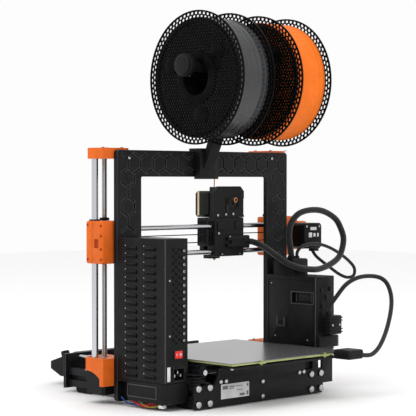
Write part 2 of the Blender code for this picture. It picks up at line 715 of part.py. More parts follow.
def build_hotend(head):
    axis = (FILAMENT_X, FILAMENT_Y)
    block_z = (NOZZLE_TIP + 0.003, NOZZLE_TIP + 0.0145)
    heater_x = (FILAMENT_X - 0.008, FILAMENT_X + 0.014)
    heater = block(heater_x, (FILAMENT_Y - 0.011, FILAMENT_Y + 0.005), block_z, 0.0006)
    neck = cylinder("z", axis, (block_z[1] - 0.001, LOWER_HEAD_Z[0] - GAP), 0.0055)
    bpy.ops.mesh.primitive_cone_add(
        vertices=32, radius1=0.0008, radius2=0.0040, depth=0.004, location=(*axis, NOZZLE_TIP + 0.002)
    )
    tip = bake(bpy.context.object)
    piece(joined(heater, neck, tip), "hotend", "brass", head)


def build_bed(bed):
    half = SHEET_X / 2
    sheet_z = (SHEET_TOP - SHEET_THICK, SHEET_TOP)
    piece(block((-half, half), (SHEET_FRONT, SHEET_REAR), sheet_z), "steel_sheet", "sheet_steel", bed)

    board_z = (sheet_z[0] - GAP - HEATER_THICK, sheet_z[0] - GAP)
    board = block((-half + 0.001, half - 0.001), (SHEET_FRONT + 0.002, SHEET_REAR + 0.0005), board_z)
    plate_top = CARRIAGE_PLATE_Z + CARRIAGE_PLATE_THICK
    extras = []
    for x in (-half * 0.8, 0.0, half * 0.8):
        for y in (SHEET_FRONT + 0.025, (SHEET_FRONT + SHEET_REAR) / 2, SHEET_REAR - 0.025):
            extras.append(cylinder("z", (x, y), (plate_top + GAP, board_z[0] + 0.001), 0.0035, 16))
    for side in (-1, 1):
        x = side * half * 0.55
        extras.append(block((x - 0.006, x + 0.006), (SHEET_REAR - 0.002, SHEET_REAR + 0.0065), board_z))
        pin = (board_z[0] - 0.002, SHEET_TOP + 0.0015)
        extras.append(cylinder("z", (x, SHEET_REAR + 0.0030), pin, 0.0018, 16))
    piece(joined(board, *extras), "heatbed", "heater_board", bed)

    build_bed_carriage(bed, half)
    cover_y = (SHEET_REAR + 0.0012, SHEET_REAR + 0.034)
    cover = block((-half + 0.002, -half + 0.036), cover_y, (0.062, 0.0765), 0.003)
    piece(cover, "bed_cable_cover", "black_print", bed)


def build_bed_carriage(bed, half):
    plate_z = (CARRIAGE_PLATE_Z, CARRIAGE_PLATE_Z + CARRIAGE_PLATE_THICK)
    centre = (SHEET_FRONT + SHEET_REAR) / 2
    reach = SHEET_Y / 2 - 0.010
    spine = block((-0.045, 0.045), (centre - reach, centre + reach), plate_z)
    arms = []
    for y in (centre - reach + 0.012, centre, centre + reach - 0.012):
        arms.append(block((-half + 0.012, half - 0.012), (y - 0.014, y + 0.014), plate_z))
    bearing_x = BED_ROD_X + 0.008
    middle = sum(BEARING_Y) / 2
    shelf = block((-bearing_x, bearing_x), (middle - 0.030, middle + 0.030), plate_z)
    bearings = []
    bores = []
    for side in (-1, 1):
        x = side * BED_ROD_X
        bearings.append(cylinder("y", (x, BED_ROD_Z), BEARING_Y, BEARING_R))
        bearings.append(block((x - 0.005, x + 0.005), BEARING_Y, (BED_ROD_Z + 0.004, plate_z[0] + 0.001)))
        long = (BEARING_Y[0] - 0.001, BEARING_Y[1] + 0.001)
        bores.append(cylinder("y", (x, BED_ROD_Z), long, BED_ROD_R + SLIDE_GAP))
    body = cut(joined(spine, *arms, shelf, *bearings), *bores)
    piece(body, "bed_carriage", "grey_metal", bed)


def turned(profile, x):
    """A closed profile of (distance along X, radius) turned about the X axis by a Screw modifier."""
    mesh = bpy.data.meshes.new("profile")
    points = [(a, 0, radius) for a, radius in profile]
    edges = [(i, (i + 1) % len(points)) for i in range(len(points))]
    mesh.from_pydata(points, edges, [])
    obj = bpy.data.objects.new("profile", mesh)
    bpy.context.scene.collection.objects.link(obj)
    screw = obj.modifiers.new("Screw", "SCREW")
    screw.axis = "X"
    screw.steps = 64
    screw.render_steps = 64
    screw.use_merge_vertices = True
    screw.merge_threshold = 1e-5
    apply_modifier(obj, screw)
    obj.location = (x, SPOOL_Y, SPOOL_Z)
    return bake(obj)


def build_spools(root):
    for word, inner in SPOOL_INNER_X.items():
        start = inner if inner > 0 else inner - SPOOL_WIDTH
        pivot = (start + SPOOL_WIDTH / 2, SPOOL_Y, SPOOL_Z)
        axle = empty(f"spool_axle_{word}", root, pivot)
        far = SPOOL_WIDTH - FLANGE_THICK
        reel = turned(
            [
                (0, SPOOL_BORE), (0, SPOOL_R), (FLANGE_THICK, SPOOL_R), (FLANGE_THICK, SPOOL_HUB),
                (far, SPOOL_HUB), (far, SPOOL_R), (SPOOL_WIDTH, SPOOL_R), (SPOOL_WIDTH, SPOOL_BORE),
            ],
            start,
        )
        piece(reel, f"spool_reel_{word}", "spool_plastic", axle, pivot)
        reel.location = (0, 0, 0)
        low = FLANGE_THICK + GAP
        high = far - GAP
        core = SPOOL_HUB + GAP
        wound = turned([(low, core), (low, WINDING_R), (high, WINDING_R), (high, core)], start)
        piece(wound, f"filament_winding_{word}", f"{word}_filament", axle, pivot)
        wound.location = (0, 0, 0)


def build_holder(root):
    bar_z = SPOOL_Z + SPOOL_BORE - BAR_R - SLIDE_GAP
    reach = SPOOL_INNER_X["dark"] + SPOOL_WIDTH + BAR_OVERHANG
    far = SPOOL_INNER_X["orange"] - SPOOL_WIDTH - BAR_OVERHANG
    top = FRAME_TOP + GAP
    low = FRAME_TOP - TOP_BAR - 0.0035
    front = FRAME_FRONT - GAP
    clip = block(CLIP_X, (GAP, 0.014), (low, top + 0.004))
    lip = block(CLIP_X, (front - CLIP_WALL, 0.002), (top, top + 0.004))
    face = block(CLIP_X, (front - CLIP_WALL, front), (FRAME_TOP - 0.014, top + 0.002))
    arm = flat(
        "x",
        ARM_X,
        [
            (0.004, top - 0.030),
            (0.014, top - 0.030),
            (SPOOL_Y + 0.010, bar_z - 0.004),
            (SPOOL_Y - 0.008, bar_z + 0.004),
        ],
    )
    bar = cylinder("x", (SPOOL_Y, bar_z), (far, reach), BAR_R)
    end = cylinder("x", (SPOOL_Y, bar_z), (reach - 0.001, reach + 0.007), BAR_END_R)
    piece(joined(clip, lip, face, arm, bar, end), "spool_holder", "black_print", root)


def build_supply(root):
    rear = SUPPLY_Y[1]
    pocket = block(
        (INLET_X[0] - GAP, INLET_X[1] + GAP),
        (rear - INLET_DEPTH - GAP, rear + 0.001),
        (INLET_Z[0] - GAP, INLET_Z[1] + GAP),
    )
    switch_depth = SWITCH_DEPTH + 0.003
    switch_x = (SWITCH_X - SWITCH_WIDTH / 2 - 0.001, SWITCH_X + SWITCH_WIDTH / 2 + 0.001)
    switch_z = (SWITCH_Z - SWITCH_HEIGHT / 2 - GAP, SWITCH_Z + SWITCH_HEIGHT / 2 + GAP)
    switch_pocket = block(switch_x, (rear - switch_depth, rear + 0.001), switch_z)
    case = block(SUPPLY_X, SUPPLY_Y, SUPPLY_Z, 0.0008, 1)
    piece(cut(case, pocket, switch_pocket), "psu_case", "frame_paint", root)

    inset = 0.002
    body = block(INLET_X, (rear - INLET_DEPTH, rear + 0.0012), INLET_Z)
    socket_x = (INLET_X[0] + inset, INLET_X[1] - inset)
    socket_z = (INLET_Z[0] + inset, INLET_Z[1] - inset)
    body = cut(body, block(socket_x, (rear - INLET_DEPTH + 0.003, rear + 0.002), socket_z))
    pins = []
    for offset in (-0.006, 0.0, 0.006):
        x = sum(INLET_X) / 2 + offset
        z = sum(INLET_Z) / 2 + (0.003 if offset == 0 else -0.002)
        pin_y = (rear - INLET_DEPTH + 0.002, rear - 0.002)
        pins.append(block((x - 0.001, x + 0.001), pin_y, (z - 0.002, z + 0.002)))
    piece(joined(body, *pins), "power_inlet", "black_plastic", root)

    half = SWITCH_WIDTH / 2 - 0.0005
    pivot_y = rear - SWITCH_DEPTH
    outline = [
        (SWITCH_X - half, pivot_y), (SWITCH_X + half, pivot_y), (SWITCH_X + half - 0.0006, rear + 0.0006),
        (SWITCH_X, rear - 0.0008), (SWITCH_X - half + 0.0006, rear + 0.0006),
    ]
    rocker = flat("z", (SWITCH_Z - SWITCH_HEIGHT / 2, SWITCH_Z + SWITCH_HEIGHT / 2), outline)
    piece(rocker, "power_switch", "red_plastic", root, (SWITCH_X, pivot_y, SWITCH_Z))

    cover_rear = SUPPLY_Y[1] + 0.0013
    cover_z = (COVER_BASE, SUPPLY_Z[0] - GAP)
    outline = [(SUPPLY_X[0], SUPPLY_Y[0]), (SUPPLY_X[1], SUPPLY_Y[0]), (SUPPLY_X[1], cover_rear - 0.012)]
    for step in range(1, 7):
        angle = step * pi / 12
        outline.append((SUPPLY_X[1] - 0.012 + 0.012 * cos(angle), cover_rear - 0.012 + 0.012 * sin(angle)))
    outline.append((SUPPLY_X[0], cover_rear))
    cover = flat("z", cover_z, outline)
    recess_x = (SUPPLY_X[1] - 0.012, SUPPLY_X[1] + 0.001)
    recess = block(recess_x, (-0.001, 0.022), (cover_z[0] - 0.001, cover_z[1] - 0.003))
    piece(cut(cover, recess), "psu_cover", "black_print", root)


def build_control(root):
    outer, inner = CONTROL_X
    rear = CONTROL_Y[1]
    case = block(CONTROL_X, CONTROL_Y, CONTROL_Z, 0.0015)
    entry = block((outer + 0.004, inner - 0.0054), (0.008, 0.055), (CONTROL_Z[1] - 0.003, ENTRY_TOP), 0.003)
    latch = block((inner - 0.002, inner + 0.0025), (0.0237, 0.0457), (0.0966, 0.1162), 0.001)
    clamp = block((outer + 0.003, outer + 0.032), (rear - 0.003, rear + 0.019), (0.090, 0.120), 0.002)
    ribbed = block((outer - 0.002, inner - 0.0024), (rear - 0.003, rear + 0.007), (0.069, 0.0876), 0.001)
    case = joined(case, entry, latch, clamp, ribbed)
    recess = block((inner - 0.006, inner + 0.001), (0.0565, 0.1016), (0.1385, 0.155))
    piece(cut(case, recess), "electronics_case", "black_print", root)


def build_display(root):
    rear = FRONT_OUTER - GAP
    flat_end = rear - DISPLAY_FLAT
    outline = [
        (rear, DISPLAY_BASE),
        (rear, DISPLAY_TOP),
        (flat_end, DISPLAY_TOP),
        (DISPLAY_FRONT, DISPLAY_LIP_Z + 0.006),
        (DISPLAY_FRONT, DISPLAY_LIP_Z - 0.006), (DISPLAY_FRONT + 0.026, DISPLAY_BASE),
    ]
    housing = soften(flat("x", DISPLAY_X, outline), 0.0015)
    piece(housing, "display_housing", "black_print", root)

    fall = DISPLAY_TOP - DISPLAY_LIP_Z - 0.006
    run = flat_end - DISPLAY_FRONT
    slope = atan2(fall, run)
    y = DISPLAY_FRONT + 0.026
    z = DISPLAY_LIP_Z + 0.006 + fall * (y - DISPLAY_FRONT) / run
    normal = Vector((0, -sin(slope), cos(slope)))
    pivot = Vector((KNOB_X, y, z)) + normal * (KNOB_LENGTH / 2 + GAP)
    tilt = (slope, 0, 0)
    bpy.ops.mesh.primitive_cylinder_add(vertices=32, radius=KNOB_R, depth=KNOB_LENGTH, rotation=tilt)
    knob = soften(bake(bpy.context.object), 0.0008)
    knob.data.transform(Matrix.Translation(pivot))
    piece(knob, "display_knob", "black_plastic", root, pivot)
    print("knob axis", [round(value, 5) for value in normal], "slope", round(degrees(slope), 3))


def build_cords(root):
    for name, (radius, material, points) in CORDS.items():
        curve = bpy.data.curves.new(name, "CURVE")
        curve.dimensions = "3D"
        curve.bevel_depth = radius
        curve.bevel_resolution = 2
        curve.use_fill_caps = True
        spline = curve.splines.new("POLY")
        spline.points.add(len(points) - 1)
        for target, point in zip(spline.points, points):
            target.co = (*point, 1)
        curve.materials.append(look(material))
        cord = bpy.data.objects.new(name, curve)
        bpy.context.scene.collection.objects.link(cord)
        cord.parent = root


def centre_on_ground(root):
    """Moves the root so that the solid pieces' box stands centred on the origin."""
    bpy.context.view_layer.update()
    corners = []
    for obj in bpy.context.scene.objects:
        if obj.type == "MESH":
            corners += [obj.matrix_world @ Vector(corner) for corner in obj.bound_box]
    low = [min(corner[axis] for corner in corners) for axis in range(3)]
    high = [max(corner[axis] for corner in corners) for axis in range(3)]
    root.location = (-(low[0] + high[0]) / 2, -(low[1] + high[1]) / 2, -low[2])


def main():
    clear_scene()
    root = empty("printer", None)
    gantry = empty("gantry", root)
    head = empty("print_head", gantry)
    bed = empty("bed", root)
    build_frame(root)
    build_base(root)
    build_bed_drive(root)
    build_lift(root)
    build_beam(gantry)
    build_head(head)
    build_bed(bed)
    build_spools(root)
    build_holder(root)
    build_supply(root)
    build_control(root)
    build_display(root)
    build_cords(root)
    centre_on_ground(root)


main()
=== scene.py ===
# %% [markdown]
# # A desktop filament printer, dressed for its studio picture
# The solid model of the machine arrives packed and fixed. Everything in this file adds what a solid
# model leaves out: painted, printed and brushed finishes, punched spool flanges, vents, screws and cables.
# The first cell loads the machine and keeps its box, which the visual model has to stay inside.

# %% Load the machine
import random
from math import atan2, cos, pi, radians, sin

import bmesh
import bpy
from mathutils import Matrix, Vector
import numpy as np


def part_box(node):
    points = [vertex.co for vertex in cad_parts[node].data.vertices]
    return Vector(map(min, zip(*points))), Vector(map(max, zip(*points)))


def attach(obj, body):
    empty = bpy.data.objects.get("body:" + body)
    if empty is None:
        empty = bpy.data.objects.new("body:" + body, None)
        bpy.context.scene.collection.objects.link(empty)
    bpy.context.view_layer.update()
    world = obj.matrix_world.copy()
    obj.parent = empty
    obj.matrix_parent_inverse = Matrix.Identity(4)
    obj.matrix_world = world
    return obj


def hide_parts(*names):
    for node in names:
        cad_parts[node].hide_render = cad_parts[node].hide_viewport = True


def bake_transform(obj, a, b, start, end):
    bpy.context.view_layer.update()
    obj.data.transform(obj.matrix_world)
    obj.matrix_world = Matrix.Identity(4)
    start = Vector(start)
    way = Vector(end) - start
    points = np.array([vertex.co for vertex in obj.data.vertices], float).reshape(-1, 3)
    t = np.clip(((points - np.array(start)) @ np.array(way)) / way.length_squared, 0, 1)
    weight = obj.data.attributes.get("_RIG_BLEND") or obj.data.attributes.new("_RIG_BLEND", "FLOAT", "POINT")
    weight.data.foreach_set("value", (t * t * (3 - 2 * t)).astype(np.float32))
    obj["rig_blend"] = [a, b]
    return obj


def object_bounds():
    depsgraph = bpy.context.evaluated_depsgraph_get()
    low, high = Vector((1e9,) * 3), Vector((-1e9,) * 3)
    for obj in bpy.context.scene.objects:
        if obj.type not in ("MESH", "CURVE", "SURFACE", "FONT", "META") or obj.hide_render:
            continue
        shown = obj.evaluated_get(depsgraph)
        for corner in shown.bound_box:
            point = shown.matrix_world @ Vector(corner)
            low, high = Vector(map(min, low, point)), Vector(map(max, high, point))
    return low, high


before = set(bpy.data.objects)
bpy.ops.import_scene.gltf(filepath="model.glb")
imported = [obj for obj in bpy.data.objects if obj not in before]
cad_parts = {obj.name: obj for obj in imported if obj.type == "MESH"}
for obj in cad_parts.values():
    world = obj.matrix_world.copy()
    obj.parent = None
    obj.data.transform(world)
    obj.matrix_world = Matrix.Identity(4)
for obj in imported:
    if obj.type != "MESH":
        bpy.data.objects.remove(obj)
cad_low, cad_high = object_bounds()
print("machine box", [round(v, 3) for v in (*cad_low, *cad_high)])

# %% [markdown]
# The upright plate is the machine's datum: its middle, its rear face and the table give every other place.
# `at` turns a place measured from that datum into the scene's own coordinates.

# %% Datum and places
plate_low, plate_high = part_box("frame_plate")
DATUM = Vector(((plate_low.x + plate_high.x) / 2, plate_high.y, 0.0))


def at(x, y, z):
    return DATUM + Vector((x, y, z))


def spans(node):
    """The three pairs of bounds of one solid."""
    low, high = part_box(node)
    return [(low[i], high[i]) for i in range(3)]


# %% [markdown]
# The picture is a long-lens view from behind, a little above the bed. A long lens keeps the uprights
# almost parallel, so the camera stands well back instead of being widened.

# %% Camera
camera_data = bpy.data.cameras.new("camera")
camera_data.lens = 133.9
camera_data.sensor_width = 36.0
camera_data.clip_end = 50.0
camera = bpy.data.objects.new("camera", camera_data)
bpy.context.scene.collection.objects.link(camera)
camera.location = at(1.6999, 1.7329, 0.3335)
camera.rotation_euler = (radians(89.0), 0.0, radians(135.5))
bpy.context.scene.camera = camera

# %% [markdown]
# A pale sheet of paper under soft boxes gives the even, almost shadowless light that dark plastic needs:
# broad lights draw long soft highlights on edges, and a small sun would only make sparkles.

# %% Studio
world = bpy.data.worlds.new("studio")
bpy.context.scene.world = world
world.use_nodes = True
world.node_tree.nodes["Background"].inputs["Color"].default_value = (1.0, 1.0, 1.0, 1.0)
world.node_tree.nodes["Background"].inputs["Strength"].default_value = 0.98
bpy.context.scene.view_settings.view_transform = "Standard"


def soft_box(name, place, aim, size, power):
    data = bpy.data.lights.new(name, "AREA")
    data.shape = "RECTANGLE"
    data.size, data.size_y = size
    data.energy = power
    lamp = bpy.data.objects.new(name, data)
    bpy.context.scene.collection.objects.link(lamp)
    lamp.location = place
    lamp.rotation_euler = (aim - place).to_track_quat("-Z", "Y").to_euler()


middle = (cad_low + cad_high) / 2
soft_box("key_light", at(2.0, 0.3, 2.2), middle, (1.4, 1.4), 16)
soft_box("rear_light", at(-0.2, 2.4, 1.6), middle, (1.6, 1.2), 9)
soft_box("top_light", at(0.0, 0.2, 2.4), middle, (1.8, 1.8), 9)

bpy.ops.mesh.primitive_plane_add(size=8, location=(0, 0, -0.0005))
floor = bpy.context.object
floor.name = "studio_floor"
floor_paper = bpy.data.materials.new("floor_paper")
floor_paper.use_nodes = True
floor_shader = floor_paper.node_tree.nodes["Principled BSDF"]
floor_shader.inputs["Base Color"].default_value = (0.93, 0.93, 0.93, 1.0)
floor_shader.inputs["Roughness"].default_value = 0.9
floor_shader.inputs["Specular IOR Level"].default_value = 0.1
floor.data.materials.append(floor_paper)

# %% [markdown]
# Small tools come next. Blender's operators act on whatever is selected, so each piece starts by clearing
# the selection, and each finished piece has its place written into its mesh with its object at the origin.

# %% Modelling tools
def alone_none():
    bpy.ops.object.select_all(action="DESELECT")


def alone(obj):
    alone_none()
    obj.select_set(True)
    bpy.context.view_layer.objects.active = obj
    return obj


def settle(obj):
    """Writes the object's place, turn and size into its mesh."""
    alone(obj)
    bpy.ops.object.transform_apply(location=True, rotation=True, scale=True)
    return obj


def modify(obj, kind, **settings):
    modifier = obj.modifiers.new(kind.title(), kind)
    for key, value in settings.items():
        setattr(modifier, key, value)
    alone(obj)
    bpy.ops.object.modifier_apply(modifier=modifier.name)
    return obj


def soften(obj, width, segments=2):
    return modify(
        obj, "BEVEL", width=width, segments=segments, limit_method="ANGLE", angle_limit=radians(35)
    )


def block(x, y, z, edge=0.0008, segments=2):
    """A box between bounds, with its edges rounded as moulding or printing leaves them."""
    alone_none()
    centre = [sum(pair) / 2 for pair in (x, y, z)]
    bpy.ops.mesh.primitive_cube_add(size=1, location=centre)
    obj = bpy.context.object
    obj.scale = [pair[1] - pair[0] for pair in (x, y, z)]
    settle(obj)
    return soften(obj, edge, segments) if edge else obj


TURNS = {"x": (0, pi / 2, 0), "y": (pi / 2, 0, 0), "z": (0, 0, 0)}


def round_bar(axis, centre, span, radius, edge=0.0004, sides=32):
    """A round bar along an axis; centre is any point on it."""
    place = Vector(centre)
    place["xyz".index(axis)] = sum(span) / 2
    alone_none()
    bpy.ops.mesh.primitive_cylinder_add(
        vertices=sides, radius=radius, depth=span[1] - span[0], location=place, rotation=TURNS[axis]
    )
    obj = settle(bpy.context.object)
    return soften(obj, edge) if edge else obj


def joined(*objects):
    """Several shapes as one mesh, without melting them together."""
    alone_none()
    for obj in objects:
        obj.select_set(True)
    bpy.context.view_layer.objects.active = objects[0]
    if len(objects) > 1:
        bpy.ops.object.join()
    return objects[0]


def carve(obj, *cutters):
    for cutter in cutters:
        modify(obj, "BOOLEAN", operation="DIFFERENCE", solver="EXACT", object=cutter)
        bpy.data.objects.remove(cutter, do_unlink=True)
    return obj


def tidy(obj):
    """Merges doubled points and turns the faces outwards."""
    mesh = bmesh.new()
    mesh.from_mesh(obj.data)
    bmesh.ops.remove_doubles(mesh, verts=mesh.verts, dist=1e-6)
    bmesh.ops.recalc_face_normals(mesh, faces=mesh.faces)
    mesh.to_mesh(obj.data)
    mesh.free()
    return obj


def copy_of(node):
    """A merged copy of one of the machine's solids, to carve detail into."""
    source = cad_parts[node]
    obj = bpy.data.objects.new(node + "_copy", source.data.copy())
    bpy.context.scene.collection.objects.link(obj)
    return tidy(obj)


def refined(name, edge=0.0008):
    """A copy of a solid with its flat faces cleaned and its edges rounded."""
    obj = copy_of(name)
    alone(obj)
    bpy.ops.object.mode_set(mode="EDIT")
    bpy.ops.mesh.select_all(action="SELECT")
    bpy.ops.mesh.dissolve_limited(angle_limit=radians(1))
    bpy.ops.object.mode_set(mode="OBJECT")
    return soften(obj, edge) if edge else obj


def finished(obj, name, body, material, slot, smooth=30.0):
    obj.name = name
    obj.data.name = name
    obj.data.materials.clear()
    obj.data.materials.append(material)
    alone(obj)
    if smooth:
        bpy.ops.object.shade_smooth_by_angle(angle=radians(smooth))
    else:
        bpy.ops.object.shade_flat()
    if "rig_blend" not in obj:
        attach(obj, body)
    return obj


# %% [markdown]
# ## Finishes
# Each finish is one Principled shader with noise, waves or cells on Object coordinates, so it stays put
# when the camera moves. Bump carries what fingers would feel: powder-coat grain, print layers, draw marks.

# %% Finish tools
FINISHES = {}


def finish(name, colour, roughness, metallic=0.0, coat=0.0, gloss=0.14):
    material = bpy.data.materials.new(name)
    FINISHES[name] = material
    material.use_nodes = True
    shader = shader_of(material)
    shader.inputs["Base Color"].default_value = (*colour, 1.0)
    shader.inputs["Roughness"].default_value = roughness
    shader.inputs["Metallic"].default_value = metallic
    shader.inputs["Coat Weight"].default_value = coat
    shader.inputs["Specular IOR Level"].default_value = 0.5 if metallic else gloss
    return material


def shader_of(material):
    return material.node_tree.nodes["Principled BSDF"]


def node(material, kind, **values):
    made = material.node_tree.nodes.new(kind)
    for key, value in values.items():
        if key in made.inputs:
            made.inputs[key].default_value = value
        else:
            setattr(made, key, value)
    return made


def link(material, source, target):
    material.node_tree.links.new(source, target)


def places(material, scale=(1.0, 1.0, 1.0)):
    coordinates = node(material, "ShaderNodeTexCoord")
    mapping = node(material, "ShaderNodeMapping")
    mapping.inputs["Scale"].default_value = scale
    link(material, coordinates.outputs["Object"], mapping.inputs["Vector"])
    return mapping.outputs["Vector"]


def noise(material, vector, scale, detail=3.0):
    made = node(material, "ShaderNodeTexNoise", Scale=scale, Detail=detail)
    link(material, vector, made.inputs["Vector"])
    return made.outputs["Fac"]


def ramp(material, value, low, high):
    """Spreads a 0..1 value between two colours or two grey levels."""
    made = node(material, "ShaderNodeValToRGB")
    for element, position, level in zip(made.color_ramp.elements, (0.3, 0.7), (low, high)):
        element.position = position
        element.color = (level, level, level, 1.0) if isinstance(level, float) else (*level, 1.0)
    link(material, value, made.inputs["Fac"])
    return made.outputs["Color"]


def bump(material, height, depth, strength=0.5, before=None):
    made = node(material, "ShaderNodeBump", Strength=strength, Distance=depth)
    link(material, height, made.inputs["Height"])
    if before is not None:
        link(material, before, made.inputs["Normal"])
    return made.outputs["Normal"]


def wear(material, vector, colour, spread, roughness, scale=60.0):
    """Slow drift in colour and roughness, as handling and dust leave it."""
    shader = shader_of(material)
    drift = noise(material, vector, scale)
    dark = tuple(max(0.0, c * (1 - spread)) for c in colour)
    light = tuple(c * (1 + spread) + 0.002 for c in colour)
    link(material, ramp(material, drift, dark, light), shader.inputs["Base Color"])
    fine = noise(material, vector, scale * 4)
    link(material, ramp(material, fine, roughness - 0.07, roughness + 0.07), shader.inputs["Roughness"])


def paint_edge_highlight(material, light, reach=0.0009):
    """Paints a lighter colour where the surface turns sharply: a painted highlight standing in for the light
    that catches an edge.
    """
    shader = shader_of(material)
    rounded = node(material, "ShaderNodeBevel", Radius=reach)
    rounded.samples = 6
    plain = node(material, "ShaderNodeNewGeometry")
    along = node(material, "ShaderNodeVectorMath", operation="DOT_PRODUCT")
    link(material, rounded.outputs["Normal"], along.inputs[0])
    link(material, plain.outputs["Normal"], along.inputs[1])
    turned = node(material, "ShaderNodeMapRange")
    turned.inputs["From Min"].default_value = 0.995
    turned.inputs["From Max"].default_value = 0.8
    link(material, along.outputs["Value"], turned.inputs["Value"])
    mixed = node(material, "ShaderNodeMix", data_type="RGBA")
    source = shader.inputs["Base Color"].links[0].from_socket
    link(material, turned.outputs["Result"], mixed.inputs["Factor"])
    link(material, source, mixed.inputs[6])
    mixed.inputs[7].default_value = (*light, 1.0)
    link(material, mixed.outputs[2], shader.inputs["Base Color"])


def powder_coat(name, colour, roughness=0.42):
    material = finish(name, colour, roughness)
    vector = places(material)
    wear(material, vector, colour, 0.22, roughness)
    grain = noise(material, vector, 1400.0, 4.0)
    shader = shader_of(material)
    link(material, bump(material, grain, 0.00012, 0.35), shader.inputs["Normal"])
    return material


def printed(name, colour, roughness=0.5, layer=0.0002):
    """Printed plastic: fine level lines one layer high, and a slight drift of colour between layers."""
    material = finish(name, colour, roughness)
    vector = places(material)
    wear(material, vector, colour, 0.1, roughness, 35.0)
    lines = node(material, "ShaderNodeTexWave", Scale=1 / (layer * 20), Distortion=0.4, Detail=1.0)
    lines.bands_direction = "Z"
    link(material, vector, lines.inputs["Vector"])
    shader = shader_of(material)
    soft = bump(material, noise(material, vector, 500.0), 0.0001, 0.25)
    link(material, bump(material, lines.outputs["Fac"], layer * 0.4, 0.4, soft), shader.inputs["Normal"])
    return material


def moulded(name, colour, roughness=0.35, texture=900.0, coat=0.0):
    material = finish(name, colour, roughness, coat=coat)
    vector = places(material)
    wear(material, vector, colour, 0.15, roughness, 45.0)
    shader = shader_of(material)
    link(material, bump(material, noise(material, vector, texture), 0.00008, 0.3), shader.inputs["Normal"])
    return material


def drawn_steel(name, colour, roughness, axis):
    """Ground bar: fine marks drawn out along one axis."""
    material = finish(name, colour, roughness, 1.0)
    stretch = {"x": (4.0, 900.0, 900.0), "y": (900.0, 4.0, 900.0), "z": (900.0, 900.0, 4.0)}[axis]
    vector = places(material, stretch)
    shader = shader_of(material)
    marks = noise(material, vector, 1.0, 2.0)
    link(material, ramp(material, marks, roughness - 0.06, roughness + 0.08), shader.inputs["Roughness"])
    link(material, bump(material, marks, 0.00002, 0.3), shader.inputs["Normal"])
    return material


# %% [markdown]
# The machine needs only about twenty finishes. Dark parts are never pure black: paint, prints and mouldings
# each reflect the studio a little differently, and that is what separates them in the picture.

# %% Finishes
FRAME_COAT = powder_coat("frame_powder_coat", (0.0058, 0.0061, 0.007))
CASE_COAT = powder_coat("case_paint", (0.0038, 0.004, 0.0047), 0.36)
BLACK_PRINT = printed("black_print", (0.006, 0.006, 0.0066))
ORANGE_PRINT = printed("orange_print", (0.68, 0.125, 0.012), 0.46)
BLACK_MOULD = moulded("black_moulding", (0.0055, 0.0055, 0.006))
SPOOL_MOULD = moulded("spool_moulding", (0.0026, 0.0026, 0.003), 0.32, 500.0)
moulded("rubber", (0.006, 0.006, 0.006), 0.75, 300.0)
# Near-black painted shadow, laid in slots, vent holes and seams.
HOLE_SHADOW = moulded("vent_shadow", (0.0015, 0.0015, 0.0017), 0.8)
drawn_steel("ground_rod_upright", (0.55, 0.56, 0.58), 0.18, "z")
drawn_steel("ground_rod_cross", (0.5, 0.51, 0.53), 0.2, "x")
drawn_steel("ground_rod_bed", (0.5, 0.51, 0.53), 0.2, "y")
THREAD = drawn_steel("lead_screw_steel", (0.36, 0.35, 0.34), 0.3, "z")
BOLT = drawn_steel("bolt_steel", (0.5, 0.5, 0.51), 0.34, "y")
moulded("anodised_aluminium", (0.009, 0.0095, 0.011), 0.38)
BRASS = drawn_steel("brass", (0.78, 0.52, 0.2), 0.28, "z")
moulded("heater_board", (0.33, 0.36, 0.15), 0.4)
RED_LENS = moulded("red_rocker", (0.62, 0.018, 0.012), 0.28, coat=0.4)
LABEL = moulded("blank_label", (0.62, 0.62, 0.63), 0.45)
# A lighter grey, painted as the highlight on rolled edges, rims and thin parts.
EDGE_LIGHT = moulded("edge_highlight_paint", (0.055, 0.056, 0.06), 0.3)
LABEL_INK = moulded("label_ink", (0.16, 0.16, 0.17), 0.5)
GOLD = drawn_steel("motor_lamination", (0.62, 0.5, 0.3), 0.35, "y")
shader_of(SPOOL_MOULD).inputs["Specular IOR Level"].default_value = 0.025
shader_of(RED_LENS).inputs["Emission Color"].default_value = (0.9, 0.03, 0.02, 1)
shader_of(RED_LENS).inputs["Emission Strength"].default_value = 0.25
# Dark finishes and the orange print get a painted highlight along their sharp edges.
for dark_finish, light in (
    (FRAME_COAT, 0.17), (CASE_COAT, 0.05), (BLACK_PRINT, 0.034), (BLACK_MOULD, 0.03), (SPOOL_MOULD, 0.008)
):
    paint_edge_highlight(dark_finish, (light, light, light * 1.05))
paint_edge_highlight(ORANGE_PRINT, (0.85, 0.26, 0.06))
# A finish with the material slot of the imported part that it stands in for.
PRINT = (BLACK_PRINT, "black_print")
ORANGE = (ORANGE_PRINT, "orange_print")
MOULD = (BLACK_MOULD, "black_plastic")
SHADOW = (HOLE_SHADOW, "black_plastic")
STEEL = (BOLT, "bright_steel")
CASE = (CASE_COAT, "frame_paint")
PAPER = (LABEL, "frame_paint")
# Rims in the lighter grey of a painted highlight.
BRIGHT_EDGE = (EDGE_LIGHT, "black_print")


def wound(name, colour, roughness, gloss):
    """Filament wound side by side: one ridge for each turn, wandering a little."""
    material = finish(name, colour, roughness, gloss=gloss)
    vector = places(material)
    wear(material, vector, colour, 0.08, roughness, 30.0)
    turns = node(material, "ShaderNodeTexWave", Scale=1 / (0.0018 * 20), Distortion=0.6, Detail=1.0)
    turns.bands_direction = "X"
    link(material, vector, turns.inputs["Vector"])
    shader = shader_of(material)
    link(material, bump(material, turns.outputs["Fac"], 0.0007, 0.8), shader.inputs["Normal"])
    return material


DARK_WOUND = wound("dark_filament", (0.017, 0.018, 0.02), 0.3, 0.62)
ORANGE_WOUND = wound("orange_filament", (0.84, 0.175, 0.018), 0.42, 0.08)


